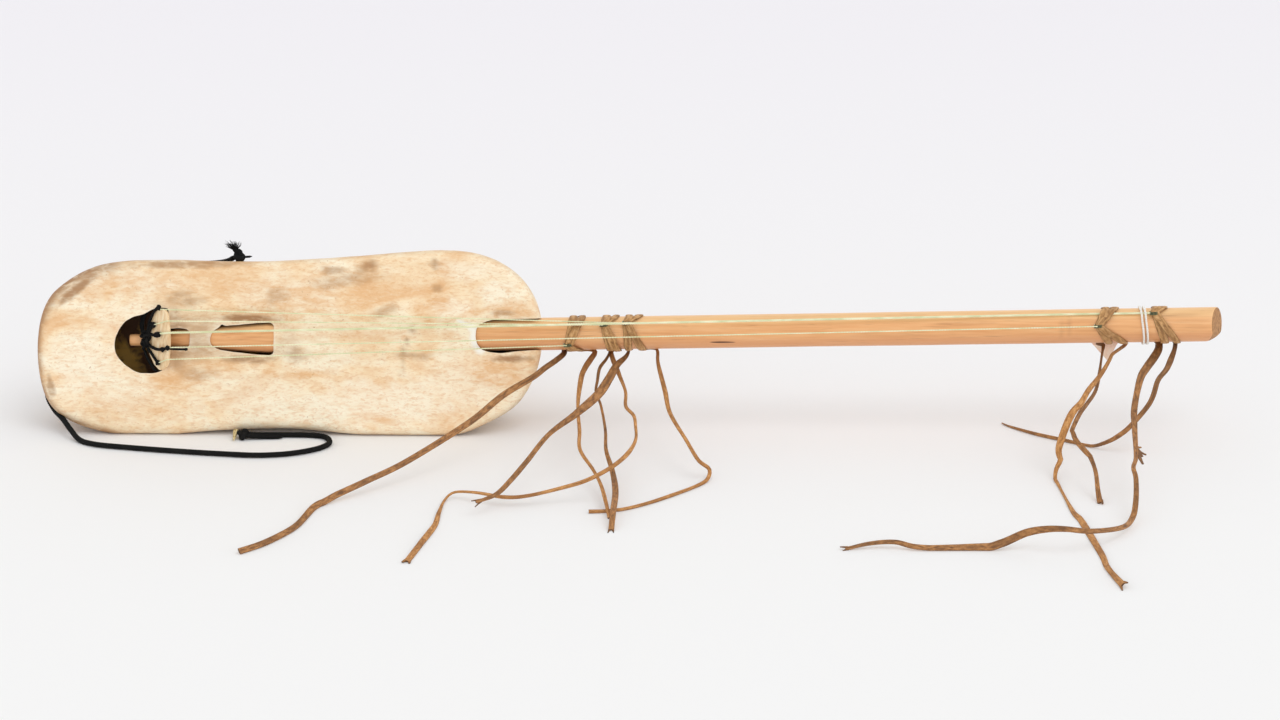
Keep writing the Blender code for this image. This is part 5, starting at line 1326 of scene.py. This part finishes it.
lay_twist(bm, turns_line, NUT_RADIUS, 2, 3.0, 6)
as_piece("white_thread_nut", bm, [THREAD], "nut_binding")

# Hide flap. A thin scrap of pinkish hide, curled as it dried, is caught under the fourth ring.
FLAP_CORNERS = [(-3.8, 70.4), (21, 70.4), (12, 53.2)]
FLAP_LOOK = new_finish("pinkish scrap of hide", 0.6)
flap_place = place_of(FLAP_LOOK)
flap_clouds = clouds(FLAP_LOOK, flap_place, 150, 5, 0.5)
flap_grain = clouds(FLAP_LOOK, flap_place, 1100, 4)
colour = shades(FLAP_LOOK, flap_clouds, (0.33, (0.86, 0.50, 0.36)), (0.5, (0.96, 0.70, 0.55)), (0.66, (0.98, 0.83, 0.69)))
low_part = put(FLAP_LOOK, "SeparateXYZ", Vector=flap_place).outputs["Z"]
colour = over(FLAP_LOOK, times(FLAP_LOOK, 0.6, sharper(FLAP_LOOK, low_part, -90, 5.8)), colour, (0.98, 0.86, 0.66))
colour = over(FLAP_LOOK, times(FLAP_LOOK, 0.3, sharper(FLAP_LOOK, flap_grain, 2, -1)), colour, (0.72, 0.38, 0.24))
dress(FLAP_LOOK, colour, raised(FLAP_LOOK, flap_grain, 0.0003))
corners = [by_tail_end(RINGS[3][0] + x, 16.6, z) for x, z in FLAP_CORNERS]
bm = bmesh.new()
fine = 10
grid_points = {}
for i in range(fine + 1):
    for j in range(fine + 1 - i):
        p = corners[0] + (corners[1] - corners[0]) * (i / fine) + (corners[2] - corners[0]) * (j / fine)
        curl = 2.2 * (j / fine) ** 2 - 0.8 * math.sin(math.pi * i / fine) + 0.5 * noise.noise(p * 160)
        grid_points[i, j] = bm.verts.new(p + Vector((0, -curl * MM, 0)))
for i in range(fine):
    for j in range(fine - i):
        bm.faces.new((grid_points[i, j], grid_points[i + 1, j], grid_points[i, j + 1]))
        if j < fine - i - 1:
            bm.faces.new((grid_points[i + 1, j], grid_points[i + 1, j + 1], grid_points[i, j + 1]))
for face in bm.faces:
    face.smooth = True
flap = as_piece("curled_hide_flap", bm, [FLAP_LOOK], "hide_flap", "ring_4")
thick = flap.modifiers.new("thickness", "SOLIDIFY")
thick.thickness = 0.9 * MM
thick.offset = 0

# Floor and light. A pale matt floor reaches past the view; a high soft light comes from the front right.
FLOOR = new_finish("pale floor", 0.9)
FLOOR.node_tree.nodes["Principled BSDF"].inputs["Specular IOR Level"].default_value = 0.1
# the floor turns a little darker and lavender towards the back: painted fall-off of the light
far_back = put(FLOOR, "SeparateXYZ", Vector=put(FLOOR, "TexCoord").outputs["Object"]).outputs["Y"]
spread = put(FLOOR, "MapRange", Value=far_back)
spread.inputs["From Min"].default_value = -0.2
spread.inputs["From Max"].default_value = 1.2
floor_colour = shades(FLOOR, spread.outputs[0], (0.0, (0.90, 0.90, 0.90)), (1.0, (0.86, 0.845, 0.88)))
FLOOR.node_tree.links.new(floor_colour, FLOOR.node_tree.nodes["Principled BSDF"].inputs["Base Color"])
bm = bmesh.new()
bmesh.ops.create_grid(bm, x_segments=1, y_segments=1, size=9)
floor_mesh = bpy.data.meshes.new("floor")
bm.to_mesh(floor_mesh)
bm.free()
floor_mesh.materials.append(FLOOR)
floor = bpy.data.objects.new("floor", floor_mesh)
bpy.context.scene.collection.objects.link(floor)

sun = bpy.data.objects.new("key light", bpy.data.lights.new("key light", "SUN"))
sun.data.energy = 0.5
sun.data.angle = math.radians(40)
sun.rotation_euler = Vector((0.44, -0.4, 1)).to_track_quat("Z", "Y").to_euler()
bpy.context.scene.collection.objects.link(sun)
world = bpy.data.worlds.new("studio")
bpy.context.scene.world = world
world.use_nodes = True
height = put(world, "SeparateXYZ", Vector=put(world, "TexCoord").outputs["Generated"]).outputs["Z"]
sky = shades(world, height, (0.0, (1, 1, 1)), (1.0, (0.55, 0.55, 0.55)))
world.node_tree.links.new(sky, world.node_tree.nodes["Background"].inputs["Color"])
world.node_tree.nodes["Background"].inputs["Strength"].default_value = 1.27
bpy.context.scene.view_settings.view_transform = "Standard"

bpy.context.view_layer.update()
